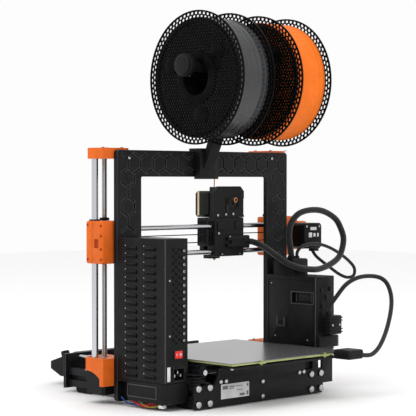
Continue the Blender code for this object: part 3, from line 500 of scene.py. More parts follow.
def braid(name, colour):
    """Braided sleeve: two crossed sets of fine strands."""
    material = finish(name, colour, 0.62)
    shader = shader_of(material)
    shader.inputs["Sheen Weight"].default_value = 0.25
    vector = places(material, (1.0, 1.0, 1.0))
    cells = node(material, "ShaderNodeTexVoronoi", Scale=900.0)
    link(material, vector, cells.inputs["Vector"])
    wear(material, vector, colour, 0.3, 0.62, 250.0)
    link(material, bump(material, cells.outputs["Distance"], 0.0004, 0.7), shader.inputs["Normal"])
    return material


BRAID = braid("cable_braid", (0.011, 0.011, 0.0125))


def spring_sheet():
    """The print sheet: smooth coated steel, grey, with a faint grain and soft reflections."""
    material = finish("print_sheet", (0.23, 0.23, 0.235), 0.27, 0.7)
    vector = places(material)
    drift = noise(material, vector, 3.0, 1.0)
    shader = shader_of(material)
    grey = ramp(material, drift, (0.215, 0.215, 0.218), (0.245, 0.245, 0.25))
    link(material, grey, shader.inputs["Base Color"])
    link(material, bump(material, noise(material, vector, 2500.0), 0.000004, 0.2), shader.inputs["Normal"])
    return material


spring_sheet()

# %% [markdown]
# Solids whose shape is already right keep their mesh and only get a finish.

# %% Dress the solids
DRESS = {
    "frame_powder_coat": "rear_plate front_plate",
    "case_paint": "psu_case",
    "black_print": (
        "psu_cover electronics_case spool_holder display_housing x_carriage extruder_body bed_cable_cover"
    ),
    "orange_print": (
        "x_end_idler x_end_motor z_bottom_left z_bottom_right z_top_left z_top_right idler_lever"
    ),
    "black_moulding": (
        "power_inlet display_knob blower hotend_fan x_motor y_motor z_motor_left z_motor_right "
        "extruder_motor"
    ),
    "rubber": "foot_front_left foot_front_right foot_rear_left foot_rear_right x_belt y_belt",
    "anodised_aluminium": (
        "profile_front_left profile_front_right profile_rear_left profile_rear_right bed_carriage hotend"
    ),
    "bolt_steel": "x_pulley y_pulley",
    "ground_rod_upright": "z_rod_left z_rod_right",
    "ground_rod_cross": "x_rod_upper x_rod_lower",
    "ground_rod_bed": "y_rod_left y_rod_right",
    "heater_board": "heatbed",
    "print_sheet": "steel_sheet",
    "red_rocker": "power_switch",
}
for finish_name, names in DRESS.items():
    for name in names.split():
        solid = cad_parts[name]
        solid.data.materials.clear()
        solid.data.materials.append(FINISHES[finish_name])
print("dressed", sum(len(names.split()) for names in DRESS.values()), "solids")

# %% [markdown]
# A cable is a tube along one smooth curve through given points. The curve is kept as a list of places, because
# the cord it stands for is measured along the same list.

# %% Cable tools
STEPS = 6


def smooth_line(points, steps=STEPS):
    """A Catmull-Rom curve through the points, as a list of places in the scene."""
    ends = [2 * Vector(points[0]) - Vector(points[1])]
    run = ends + [Vector(p) for p in points] + [2 * Vector(points[-1]) - Vector(points[-2])]
    line = []
    for a, b, c, d in zip(run, run[1:], run[2:], run[3:]):
        for step in range(steps):
            t = step / steps
            square, cube = (2 * a - 5 * b + 4 * c - d) * t * t, (3 * b - a - 3 * c + d) * t ** 3
            line.append(0.5 * (2 * b + (c - a) * t + square + cube))
    line.append(run[-2])
    return [DATUM + p for p in line]


def tube(line, radius, sides=4):
    alone_none()
    curve = bpy.data.curves.new("run", "CURVE")
    curve.dimensions = "3D"
    curve.bevel_depth = radius
    curve.bevel_resolution = sides
    curve.use_fill_caps = True
    spline = curve.splines.new("POLY")
    spline.points.add(len(line) - 1)
    for point, place in zip(spline.points, line):
        point.co = (*place, 1)
    obj = bpy.data.objects.new("run", curve)
    bpy.context.scene.collection.objects.link(obj)
    alone(obj)
    bpy.ops.object.convert(target="MESH")
    return tidy(bpy.context.object)


def length_of(line):
    return sum((b - a).length for a, b in zip(line, line[1:]))


def split_line(points, after):
    """The smooth line through the points as two lists that share the place of one point."""
    line = smooth_line(points)
    return line[: after * STEPS + 1], line[after * STEPS :]


def cable(name, line, radius, material, slot, body, other=None, start=None, end=None, stands_for=None):
    obj = tube(line, radius)
    if other:
        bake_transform(obj, body, other, start=start, end=end)
    finished(obj, name, body, material, slot, 60.0)
    if stands_for:
        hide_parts(stands_for)
    print(name, round(length_of(line), 3), "m")
    return obj


# %% [markdown]
# ## Spools
# Each flange is punched into a fine net, with three rows of wide holes round the rim. A net like this is
# modelled once from six-sided cells: every cell is inset, its middle is removed, and the sheet gets a wall.

# %% Net tools
def hexagon_sheet(centres, radius, hole, thick, bend=None):
    """Six-sided cells side by side at the centres, each with a hole, as one sheet with a wall, facing X."""
    alone_none()
    bpy.ops.mesh.primitive_circle_add(vertices=6, radius=radius, fill_type="NGON")
    obj = bpy.context.object
    bpy.ops.object.mode_set(mode="EDIT")
    bpy.ops.mesh.select_all(action="SELECT")
    bpy.ops.mesh.inset(thickness=radius * (1 - hole) * 0.866)
    bpy.ops.mesh.delete(type="FACE")
    bpy.ops.object.mode_set(mode="OBJECT")
    cell = bmesh.new()
    cell.from_mesh(obj.data)
    corners = [v.co.copy() for v in cell.verts]
    loops = [[v.index for v in face.verts] for face in cell.faces]
    cell.free()
    net = bmesh.new()
    for across, up in centres:
        made = []
        for corner in corners:
            p = (across + corner.x, up + corner.y)
            p = bend(*p) if bend else p
            made.append(net.verts.new((0, p[0], p[1])))
        for loop in loops:
            net.faces.new([made[i] for i in loop])
    bmesh.ops.remove_doubles(net, verts=net.verts, dist=radius * 0.06)
    bmesh.ops.recalc_face_normals(net, faces=net.faces)
    net.to_mesh(obj.data)
    net.free()
    return modify(obj, "SOLIDIFY", thickness=thick, offset=0)


def ring(x, y, z, outer, inner, thick, sides=96):
    """A flat ring facing X, with a rounded rim, spun from its section."""
    edge = min(thick, outer - inner) * 0.25
    alone_none()
    bpy.ops.mesh.primitive_circle_add(
        vertices=sides, radius=outer, fill_type="NGON", rotation=TURNS["x"]
    )
    obj = settle(bpy.context.object)
    bpy.ops.object.mode_set(mode="EDIT")
    bpy.ops.mesh.select_all(action="SELECT")
    bpy.ops.mesh.inset(thickness=outer - inner)
    bpy.ops.mesh.delete(type="FACE")
    bpy.ops.object.mode_set(mode="OBJECT")
    modify(obj, "SOLIDIFY", thickness=thick, offset=0)
    obj.location = (x, y, z)
    return soften(tidy(settle(obj)), edge)


# %% [markdown]
# The rim holes run round the spool, so their straight rows are bent into rings. The face net keeps its
# straight rows and is cut off by a hub ring and a rim ring, which hide its ragged ends.

# %% One punched flange
SPOOL_LOW, SPOOL_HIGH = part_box("spool_reel_dark")
SPOOL_R = (SPOOL_HIGH.z - SPOOL_LOW.z) / 2
SPOOL_AXIS = ((SPOOL_LOW.y + SPOOL_HIGH.y) / 2, (SPOOL_LOW.z + SPOOL_HIGH.z) / 2)
FLANGE_WALL = 0.002
HUB_R = 0.0345
BORE_R = 0.0266
NET_R = 0.0835
NET_STEP = 0.0054
RIM_CELLS = 72
LOBE_PITCH, LOBE_R = 0.057, 0.0125


def flange(x):
    pitch = 2 * pi / RIM_CELLS
    mid = NET_R + 0.0072
    squeeze = 0.72
    cell = mid * pitch / 3 ** 0.5

    def bend(across, up):
        reach = mid + up * squeeze
        return reach * cos(across / mid), reach * sin(across / mid)

    rim_centres = []
    for row in range(3):
        for i in range(RIM_CELLS):
            rim_centres.append(((i + (row % 2) / 2) * pitch * mid, (row - 1) * cell * 1.5))
    rim_net = hexagon_sheet(rim_centres, cell * 0.999, 0.7, FLANGE_WALL, bend)
    centres = []
    for j in range(-20, 21):
        for i in range(-20, 21):
            y, z = (i + (j % 2) / 2) * NET_STEP, j * NET_STEP * 0.866
            if HUB_R + 0.001 < (y * y + z * z) ** 0.5 < NET_R + 0.0005:
                centres.append((y, z))
    face_net = hexagon_sheet(centres, NET_STEP / 3 ** 0.5, 0.66, FLANGE_WALL)
    rim = ring(0, 0, 0, SPOOL_R, SPOOL_R - 0.0021, FLANGE_WALL * 1.5)
    band = ring(0, 0, 0, NET_R + 0.0022, NET_R - 0.0012, FLANGE_WALL * 1.1)
    hub = ring(0, 0, 0, HUB_R + 0.0045, BORE_R, FLANGE_WALL * 1.2)
    parts = [rim_net, face_net, rim, band, hub]
    for angle in (40, 160, 280):
        centre = (0, LOBE_PITCH * cos(radians(angle)), LOBE_PITCH * sin(radians(angle)))
        parts.append(round_bar("x", centre, (-0.0012, 0.0012), LOBE_R))
    whole = joined(*parts)
    whole.location = (x, SPOOL_AXIS[0], SPOOL_AXIS[1])
    return settle(whole)


def spool_barrel(x0, x1):
    """The hub tube between the flanges, seen through the nets."""
    return ring((x0 + x1) / 2, *SPOOL_AXIS, HUB_R + 0.006, BORE_R, x1 - x0 - FLANGE_WALL, 64)


def spool(name, body):
    low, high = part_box("spool_reel_" + name)
    inset = FLANGE_WALL * 0.75
    shell = joined(flange(low.x + inset), flange(high.x - inset), spool_barrel(low.x, high.x))
    finished(shell, "spool_flanges_" + name, body, SPOOL_MOULD, "spool_plastic", 40)
    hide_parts("spool_reel_" + name)
    print(shell.name, len(shell.data.polygons), "faces")


spool("dark", "spool_dark")
spool("orange", "spool_orange")

# %% [markdown]
# The filament is wound in flat layers. Its turns show as fine ridges, so the outside is a drum whose rings
# rise and fall once for each turn, with a flat face at each end against the flanges.

# %% Windings
def winding(name, body, material, slot, ridge=0.0027, sag=0.00055):
    low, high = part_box("filament_winding_" + name)
    radius = (high.z - low.z) / 2 - sag
    turns = int((high.x - low.x - 0.001) / ridge)
    step = (high.x - low.x - 0.001) / turns / 2
    alone_none()
    bpy.ops.mesh.primitive_circle_add(vertices=128, radius=radius, rotation=(0, pi / 2, 0))
    obj = settle(bpy.context.object)
    bpy.ops.object.mode_set(mode="EDIT")
    bpy.ops.mesh.select_all(action="SELECT")
    for _ in range(turns * 2):
        bpy.ops.mesh.extrude_region_move(TRANSFORM_OT_translate={"value": (step, 0, 0)})
    bpy.ops.object.mode_set(mode="OBJECT")
    for vertex in obj.data.vertices:
        index = round(vertex.co.x / step)
        if index % 2 and vertex.co.yz.length > radius / 2:
            vertex.co.y *= 1 + sag / radius
            vertex.co.z *= 1 + sag / radius
    centre_bore = (HUB_R + 0.0063) / radius
    shell = bmesh.new()
    shell.from_mesh(obj.data)
    loops = [
        [e for e in shell.edges if e.is_boundary and abs(e.verts[0].co.x - x) < step / 2]
        for x in (0, step * turns * 2)
    ]
    inner = []
    for loop in loops:
        grown = bmesh.ops.extrude_edge_only(shell, edges=loop)["geom"]
        for vertex in (v for v in grown if isinstance(v, bmesh.types.BMVert)):
            vertex.co.y *= centre_bore
            vertex.co.z *= centre_bore
        inner += [e for e in grown if isinstance(e, bmesh.types.BMEdge)]
    bmesh.ops.bridge_loops(shell, edges=inner)
    shell.to_mesh(obj.data)
    shell.free()
    obj.location = (low.x + 0.0005, *SPOOL_AXIS)
    tidy(settle(obj))
    finished(obj, "filament_turns_" + name, body, material, slot, 60)
    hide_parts("filament_winding_" + name)
    print(obj.name, turns, "turns")


winding("dark", "spool_dark", DARK_WOUND, "dark_filament")
winding("orange", "spool_orange", ORANGE_WOUND, "orange_filament")

# %% [markdown]
# ## Upright frame
# The pressed frame carries a honeycomb of grooves. A groove is a box whose floor is narrower than its
# mouth. Sides that run the same way never touch, so each direction is cut in one go from one joined set.

# %% Honeycomb grooves
CELL = 0.0146
GROOVE = 0.0042
GROOVE_DEEP = 0.0022
GROOVE_FLOOR, GROOVE_MOUTH = 0.42, 1.55
SIDES_LEFT_OUT = 0.08


def groove(centre, angle, face_y, outward):
    """One side of a honeycomb cell, as a cutter that stands through the face."""
    alone_none()
    bpy.ops.mesh.primitive_cube_add(size=1)
    obj = bpy.context.object
    obj.scale = (CELL * 1.02, GROOVE_DEEP * 2, GROOVE)
    settle(obj)
    for vertex in obj.data.vertices:
        vertex.co.z *= GROOVE_FLOOR if vertex.co.y * outward < 0 else GROOVE_MOUTH
    obj.rotation_euler = (0, angle, 0)
    obj.location = (centre[0], face_y, centre[1])
    return settle(obj)


def honeycomb_sides(inside, seed):
    """Middles and angles of cell sides inside an area; about one in twelve is left out."""
    draw = random.Random(seed)
    across = CELL * 3 ** 0.5
    sides = {0: [], 1: [], 2: []}
    for row in range(-2, 22):
        for column in range(-12, 12):
            x = (column + (row % 2) / 2) * across
            z = row * CELL * 1.5 + 0.01
            for turn, angle in enumerate((30, 90, 150)):
                px = x + across / 2 * cos(radians(angle - 90))
                pz = z + across / 2 * sin(radians(angle - 90))
                line = radians(angle)
                ends = [(px + s * CELL / 2 * cos(line), pz + s * CELL / 2 * sin(line)) for s in (-1, 1)]
                if all(inside(*end) for end in ends) and draw.random() > SIDES_LEFT_OUT:
                    sides[turn].append(((px, pz), -line))
    return sides


def plate_area(*rectangles):
    """Whether a point lies in any of the rectangles, each given as low x, high x, low z, high z."""
    return lambda x, z: any(x0 < x < x1 and z0 < z < z1 for x0, x1, z0, z1 in rectangles)


INNER_X, OUTER_X, CROSS_Z, TOP_Z = 0.1392, 0.1843, 0.3415, 0.3785
crossbar = (-OUTER_X, OUTER_X, CROSS_Z, TOP_Z)
rear_area = plate_area((INNER_X, OUTER_X, 0.254, TOP_Z), (-OUTER_X, -INNER_X, 0.188, TOP_Z), crossbar)
front_area = plate_area((INNER_X, OUTER_X, 0.02, TOP_Z), (-OUTER_X, -INNER_X, 0.02, TOP_Z), crossbar)
plate = refined("frame_plate", 0.0007)
for area, face, outward in ((rear_area, plate_high.y, 1), (front_area, plate_low.y, -1)):
    for turn, sides in honeycomb_sides(area, 7).items():
        cutters = [groove((c[0] + DATUM.x, c[1]), a, face, outward) for c, a in sides]
        carve(plate, joined(*cutters))
        print("cut", len(cutters), "sides")
finished(plate, "frame_honeycomb", "frame", FRAME_COAT, "frame_paint", 0)
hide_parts("frame_plate")


# %% [markdown]
# ## Screws
# Button-head screws hold the sheet parts together. One is made from a flattened dome with a six-sided
# socket pressed into it, then copied with its own mesh to every place it is needed.

# %% Screws
def screw_head(radius, high=None, socket=True):
    """A domed head facing +Z at the origin."""
    high = high or radius * 0.62
    alone_none()
    bpy.ops.mesh.primitive_cylinder_add(vertices=24, radius=radius, depth=high, location=(0, 0, high / 2))
    obj = settle(bpy.context.object)
    soften(obj, high * 0.55, 3)
    if socket:
        alone_none()
        bpy.ops.mesh.primitive_cylinder_add(
            vertices=6, radius=radius * 0.45, depth=high, location=(0, 0, high)
        )
        obj = carve(obj, settle(bpy.context.object))
    return obj


FACING = {
    "+x": (0, pi / 2, 0), "-x": (0, -pi / 2, 0), "+y": (-pi / 2, 0, 0),
    "-y": (pi / 2, 0, 0), "+z": (0, 0, 0), "-z": (pi, 0, 0),
}


def stamped(pattern, facing, spots):
    """Copies of one shape at many places, turned to face one way, joined into one piece."""
    copies = []
    for spot in spots:
        twin = bpy.data.objects.new("copy", pattern.data.copy())
        bpy.context.scene.collection.objects.link(twin)
        twin.rotation_euler = FACING[facing]
        twin.location = at(*spot)
        copies.append(settle(twin))
    bpy.data.objects.remove(pattern, do_unlink=True)
    return joined(*copies)


def screws(name, body, radius, facing, spots, material=None, socket=True, high=None):
    piece = stamped(screw_head(radius, high, socket), facing, spots)
    return finished(piece, name, body, material or BOLT, "bright_steel", 40)


screws("frame_corner_screws", "frame", 0.0022, "+y", [(0.1625, 0.0002, 0.368), (-0.1491, 0.0002, 0.37)])
screws(
    "rear_plate_bolts", "frame", 0.0051, "+y",
    [(x, 0.1251, z) for x, z in (
        (0.14, 0.0315), (0.117, 0.0315), (0.14, 0.0085), (0.117, 0.0085),
        (-0.1055, 0.032), (-0.128, 0.032), (-0.1055, 0.0085), (-0.128, 0.0085))],
    socket=False,
)
screws(
    "rear_plate_screws", "frame", 0.0033, "+y",
    [(x, 0.1251, z) for x, z in (
        (0.094, 0.038), (0.083, 0.038), (0.0043, 0.0306), (0.0043, 0.0083),
        (-0.078, 0.037), (-0.088, 0.0375))],
    socket=False,
)

# %% [markdown]
# ## Power supply
# The supply's sheet cover is pressed into two columns of louvres, each a low hood over a near-black slab of
# painted shadow, with a bright rivet at its end. The narrow face has a row of vent holes, a lit rocker and a
# mains inlet.

# %% Louvres
SUPPLY = spans("psu_case")
SUPPLY_SIDE = SUPPLY[0][1] - DATUM.x
SUPPLY_FACE = SUPPLY[1][1] - DATUM.y
HOOD_SIZE, HOOD_SLOPE, HOOD_TAPER = (0.0044, 0.0225, 0.0062), 0.0036, 0.9


def hood():
    """One louvre hood at the origin, facing +X, open below."""
    alone_none()
    bpy.ops.mesh.primitive_cube_add(size=1)
    obj = bpy.context.object
    obj.scale = HOOD_SIZE
    settle(obj)
    for vertex in obj.data.vertices:
        if vertex.co.x > 0 and vertex.co.z > 0:
            vertex.co.x -= HOOD_SLOPE
        if vertex.co.x > 0:
            vertex.co.y *= HOOD_TAPER
    return soften(obj, 0.0007)


LOUVRES = 17
ROW_STEP = (0.2392 - 0.053) / (LOUVRES - 1)
rows = [0.2385 - i * ROW_STEP for i in range(LOUVRES)]
hood_spots = [(SUPPLY_SIDE, y, z) for y in (0.032, 0.0725) for z in rows]


finished(stamped(hood(), "+z", hood_spots), "supply_louvres", "frame", *CASE)
# Near-black slabs under the hoods are painted shadow inside the louvres.
slot_shape = block((-0.0002, 0.0018), (-0.0112, 0.0112), (-0.003, 0.0017), 0.0006)
slots = stamped(slot_shape, "+z", [(x, y, z - 0.004) for x, y, z in hood_spots])
finished(slots, "supply_louvre_slots", "frame", *SHADOW)
rivets = [(SUPPLY_SIDE + 0.0001, y - 0.0135, z) for _, y, z in hood_spots]
screws("supply_rivets", "frame", 0.0009, "+x", rivets, socket=False)

# %% [markdown]
# The narrow face has a column of round vents, each a low collar with a bright rim, beside a net of small
# openings painted as near-black shadow. The cover's rolled corner carries a thin line of painted highlight in a
# lighter grey.

# %% Vent face
VENTS, VENT_STEP = 14, 0.01005
vents = [(0.15, SUPPLY_FACE, 0.232 - i * VENT_STEP) for i in range(VENTS)]
finished(stamped(screw_head(0.0036, 0.0012), "+y", vents), "supply_vent_collars", "frame", *CASE)
vent_ring = screw_head(0.0019, 0.0008, socket=False)
carve(vent_ring, round_bar("z", (0, 0, 0), (-0.001, 0.002), 0.0011, 0, 20))
vent_rings = stamped(vent_ring, "+y", [(x - 0.0004, y + 0.001, z) for x, y, z in vents])
finished(vent_rings, "supply_vent_rings", "frame", *STEEL)
net_cell = block((-0.0021, 0.0021), (-0.0004, 0.0004), (-0.0021, 0.0021), 0.0004)
net_spots = [
    (0.158 + j * 0.006, SUPPLY_FACE + 0.00015, 0.234 - i * VENT_STEP - (j % 2) * 0.005)
    for i in range(VENTS) for j in range(3)
]
finished(stamped(net_cell, "+z", net_spots), "supply_vent_net", "frame", *SHADOW)
face_screws = [(0.1777, SUPPLY_FACE + 0.0001, z) for z in (0.1894, 0.1092)]
screws("supply_face_screws", "frame", 0.0016, "+y", face_screws)
SUPPLY_BACK = SUPPLY[1][1]
corner = block(
    (SUPPLY[0][1] - 0.0012, SUPPLY[0][1] + 0.0004), (SUPPLY_BACK - 0.0012, SUPPLY_BACK + 0.0004),
    (SUPPLY[2][0] + 0.001, SUPPLY[2][1] - 0.001), 0.0007, 3,
)
finished(corner, "supply_edge_painted_highlight", "frame", EDGE_LIGHT, "frame_paint")

# %% [markdown]
# The lit rocker sits in a raised bezel and carries a bar and a ring. The inlet below it shows three pins, and
# a blank strip runs beside it.


# %% Rocker and inlet
def around(middle, half):
    """The two bounds that lie the same distance either side of a middle."""
    return (middle - half, middle + half)


ROCKER = spans("power_switch")
rocker_x, _, rocker_z = [(low + high) / 2 for low, high in ROCKER]
bezel = block(
    around(rocker_x, 0.0108), (SUPPLY_BACK - 0.0005, SUPPLY_BACK + 0.0012), around(rocker_z, 0.0078), 0.0008
)
carve(bezel, block(ROCKER[0], around(SUPPLY_BACK, 0.01), ROCKER[2], 0))
finished(bezel, "rocker_bezel", "frame", *MOULD)
mark_y = around(ROCKER[1][1], 0.0003)
bar_mark = block((rocker_x + 0.0036, rocker_x + 0.0046), mark_y, around(rocker_z, 0.0018), 0.0002)
ring_middle = (rocker_x - 0.0035, 0, rocker_z)
ring_mark = round_bar("y", ring_middle, mark_y, 0.0021, 0.0002)
carve(ring_mark, round_bar("y", ring_middle, (mark_y[0] - 0.001, mark_y[1] + 0.001), 0.001, 0))
finished(joined(bar_mark, ring_mark), "rocker_marks", "power_switch", LABEL, "red_plastic")
INLET = spans("power_inlet")
inlet_x, _, inlet_z = [(low + high) / 2 for low, high in INLET]
pins = [
    block(
        around(inlet_x + dx, 0.0012), (INLET[1][1] - 0.0125, INLET[1][1] - 0.0025),
        around(inlet_z + dz, 0.0022), 0.0003,
    )
    for dx, dz in ((-0.006, -0.002), (0.006, -0.002), (0.0, 0.003))
]
finished(joined(*pins), "inlet_pins", "frame", *STEEL)
strip_x = (at(0.1762, 0, 0).x, at(0.1822, 0, 0).x)
strip = block(strip_x, (SUPPLY_BACK - 0.0002, SUPPLY_BACK + 0.0003), (0.0435, 0.0645), 0.0001)
finished(strip, "blank_strip", "frame", *PAPER)

# %% [markdown]
# Below the supply a few coloured leads show under a printed cover. Each has a colour, a place along the
# cover and its own sag.

# %% Supply leads
LEADS = {
    "blue_lead": ((0.012, 0.05, 0.2), 0.03, 0.0), "red_lead": ((0.42, 0.012, 0.01), 0.05, 0.003),
    "olive_lead": ((0.2, 0.2, 0.02), 0.068, -0.002), "ruby_lead": ((0.3, 0.01, 0.02), 0.058, -0.004),
}

# %% [markdown]
# ## Refined solids
# Several solids have the right size but plain edges. Their refined copies stand in for them, with slots,
# seams and recesses carved where the real printed part has them.

# %% Places of the refined copies
def box_at(x, y, z, edge=0.0, segments=2):
    """A block whose bounds are measured from the datum."""
    return block(
        (x[0] + DATUM.x, x[1] + DATUM.x), (y[0] + DATUM.y, y[1] + DATUM.y), z, edge, segments
    )


def bar_at(axis, x, y, z, span, radius, edge=0.0003, sides=32):
    shift = DATUM["xyz".index(axis)]
    return round_bar(axis, at(x, y, z), (span[0] + shift, span[1] + shift), radius, edge, sides)


def stand_in(obj, name, node, body, material, slot):
    finished(obj, name, body, material, slot)
    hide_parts(node)
    return obj


# %% [markdown]
# The beam ends are thick prints. The one by the supply has a square slot and a row of sunk screws, both painted
# in a darker orange as shade; the other has a round hump over its guide bearing.

# %% Beam ends
idler = refined("x_end_idler", 0.0012)
carve(
    idler,
    box_at((0.204, 0.207), (-0.0303, -0.0196), (0.2332, 0.2471), 0.0004),
    box_at((0.2052, 0.207), (-0.0342, -0.0334), (0.209, 0.275)),
    box_at((0.166, 0.207), (-0.05, -0.0482), (0.23, 0.2312)),
)
stand_in(idler, "idler_end_print", "x_end_idler", "gantry", *ORANGE)
# A darker orange, painted as the shade on the slot's floor and the sunk screws.
SHADED_ORANGE_PRINT = printed("shaded_orange_print", (0.36, 0.045, 0.006), 0.6)
slot_floor = box_at((0.2034, 0.2042), (-0.0298, -0.0201), (0.2337, 0.2466), 0.0001)
finished(slot_floor, "idler_slot_floor", "gantry", SHADED_ORANGE_PRINT, "orange_print")
screws(
    "idler_end_screws", "gantry", 0.0019, "+x",
    [(0.2061, y, z) for y, z in (
        (-0.0135, 0.267), (-0.0135, 0.252), (-0.0135, 0.232), (-0.0135, 0.2165),
        (-0.044, 0.2165), (-0.044, 0.268))],
    material=SHADED_ORANGE_PRINT,
)
bearing_cap = box_at((0.1905, 0.2035), (-0.0445, -0.0315), (0.2742, 0.2762), 0.0008)
finished(bearing_cap, "idler_bearing_cap", "gantry", *MOULD)
motor_end = refined("x_end_motor", 0.0012)
stand_in(motor_end, "motor_end_print", "x_end_motor", "gantry", *ORANGE)
hump = bar_at("y", -0.2135, 0, 0.261, (-0.03, -0.0128), 0.014, 0.0014, 48)
carve(hump, box_at((-0.24, -0.18), (-0.05, 0.02), (0.23, 0.263)))
finished(hump, "motor_end_hump", "gantry", *ORANGE)

# %% [markdown]
# The beam motor has four corner screws, pale blank patches where a label would be, and a plug below.

# %% Beam motor
MOTOR = spans("x_motor")
motor = refined("x_motor", 0.001)
stand_in(motor, "beam_motor_case", "x_motor", "gantry", *MOULD)
motor_back = MOTOR[1][1] - DATUM.y
screws(
    "beam_motor_screws", "gantry", 0.0021, "+y",
    [(x, motor_back - 0.0008, z) for x in (-0.211, -0.242) for z in (0.227, 0.2582)], high=0.0016,
)
plates = [
    box_at((x0, x1), (motor_back - 0.0001, motor_back + 0.0003), (z0, z1), 0.0001)
    for x0, x1, z0, z1 in (
        (-0.2345, -0.2195, 0.252, 0.257), (-0.2235, -0.2155, 0.24, 0.248),
        (-0.232, -0.227, 0.241, 0.247), (-0.24, -0.236, 0.241, 0.247))
]
finished(joined(*plates), "beam_motor_blank_label", "gantry", LABEL, "black_plastic")
plug = box_at((-0.2465, -0.23), (0.0085, 0.017), (0.2165, 0.2215), 0.0007)
finished(plug, "beam_motor_plug", "gantry", *MOULD)

# %% [markdown]
# Printed brackets hold the guide rods at both ends. The top ones have their outer corners cut off.


# %% Top and bottom brackets
SCREW_X, SCREW_Y = 0.1783, -0.038
BRACKET_EDGE_X = 0.207
BRACKET_CAP_Z, BRACKET_CAP_RISE = 0.376, 0.0026
DIAGONAL = 0.7071


def corner_cutter(side, way, corner_y, depth=0.012):
    """A turned cube that takes a bracket's outer corner off, to a depth measured across the corner."""
    half = 0.03
    cutter = box_at((-half, half), (-half, half), (0.355, 0.395))
    cutter.data.transform(Matrix.Translation(-DATUM))
    cutter.rotation_euler = (0, 0, pi / 4)
    cutter.location = at(
        side * (BRACKET_EDGE_X + (half - depth) * DIAGONAL), corner_y + way * (half - depth) * DIAGONAL, 0
    )
    return settle(cutter)


for side, word in ((1, "right"), (-1, "left")):
    top = refined("z_top_" + word, 0)
    for vertex in top.data.vertices:
        if vertex.co.z > BRACKET_CAP_Z:
            vertex.co.z += BRACKET_CAP_RISE
    carve(top, corner_cutter(side, -1, -0.06))
    if side < 0:
        carve(top, corner_cutter(side, 1, -0.0083))
    soften(top, 0.0013)
    stand_in(top, "top_bracket_" + word, "z_top_" + word, "frame", *ORANGE)
    screws(
        "top_bracket_screws_" + word, "frame", 0.0024, "+z",
        [(side * x, y, 0.3832) for x, y in ((0.163, -0.016), (0.2, -0.016), (0.163, -0.05))],
    )
    bottom = refined("z_bottom_" + word, 0.0011)
    stand_in(bottom, "bottom_bracket_" + word, "z_bottom_" + word, "frame", *ORANGE)
    screws(
        "bottom_bracket_screws_" + word, "frame", 0.0026, "+z",
        [(side * (SCREW_X + dx), SCREW_Y + dy, 0.0692) for dx in around(0, 0.0155) for dy in around(0, 0.0155)],
    )
    rim_x = tuple(sorted((side * 0.1585, side * 0.1985)))
    motor_rim = box_at(rim_x, (-0.0595, -0.0575), (0.0475, 0.0492), 0.0003)
    finished(motor_rim, "motor_rim_" + word, "frame", GOLD, "grey_metal")

# %% [markdown]
# The lead screws are threaded. A ridge wound along the whole length would be costly, so each bar is made of
# rings whose radius rises and falls along a helix, which catches the same slanted light.

# %% Lead screws
THREAD_RINGS, THREAD_PITCH = 520, 0.0026


def threaded(node, body):
    low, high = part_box(node)
    radius = (high.x - low.x) / 2
    centre = (low + high) / 2
    height = high.z - low.z
    alone_none()
    bpy.ops.mesh.primitive_circle_add(
        vertices=24, radius=radius, fill_type="NGON", location=(centre.x, centre.y, low.z)
    )
    obj = settle(bpy.context.object)
    bpy.ops.object.mode_set(mode="EDIT")
    bpy.ops.mesh.select_all(action="SELECT")
    bpy.ops.mesh.extrude_region_move(TRANSFORM_OT_translate={"value": (0, 0, height)})
    bpy.ops.object.mode_set(mode="OBJECT")
    shape = bmesh.new()
    shape.from_mesh(obj.data)
    long_edges = [e for e in shape.edges if abs(e.verts[0].co.z - e.verts[1].co.z) > height / 2]
    bmesh.ops.subdivide_edges(shape, edges=long_edges, cuts=THREAD_RINGS)
    for vertex in shape.verts:
        if low.z + 0.002 < vertex.co.z < high.z - 0.002:
            dx, dy = vertex.co.x - centre.x, vertex.co.y - centre.y
            phase = vertex.co.z / THREAD_PITCH * 2 * pi + atan2(dy, dx)
            grow = 1 - 0.1 * (0.5 + 0.5 * sin(phase))
            vertex.co.x, vertex.co.y = centre.x + dx * grow, centre.y + dy * grow
    shape.to_mesh(obj.data)
    shape.free()
    tidy(obj)
    stand_in(obj, node + "_thread", node, body, THREAD, "bright_steel")


threaded("z_screw_left", "z_screw_left")
threaded("z_screw_right", "z_screw_right")
for side, word in ((1, "right"), (-1, "left")):
    for name, body, look, span, radius, edge, bore in (
        ("screw_nut_", "gantry", MOULD, (0.2745, 0.2785), 0.0075, 0.0006, 0.0046),
        ("screw_coupling_", "frame", STEEL, (0.0505, 0.0685), 0.0062, 0.0005, 0.0043),
    ):
        sleeve = bar_at("z", side * SCREW_X, SCREW_Y, 0, span, radius, edge)
        carve(sleeve, bar_at("z", side * SCREW_X, SCREW_Y, 0, around(sum(span) / 2, 0.01), bore, 0))
        finished(sleeve, name + word, body, *look)

# %% [markdown]
# ## Print head
# From behind, the head is a dark printed plate with a gear window, a copper-coloured ring, silver screws and
# a cable clamp. Each detail is a shallow relief of its own, riding with the head.

# %% Extruder back
HEAD_BACK = -0.0125
GEAR, COPPER_EYE = (-0.07, 0.2985), (-0.0774, 0.303)


def on_back(x, z, deep, high, edge=0.0):
    """A slab on the head's back, sunk by one measure and standing out by another."""
    return box_at(x, (HEAD_BACK - deep, HEAD_BACK + high), z, edge)


def disc_on_back(middle, deep, high, radius, edge=0.0, sides=32):
    return bar_at("y", middle[0], 0, middle[1], (HEAD_BACK - deep, HEAD_BACK + high), radius, edge, sides)


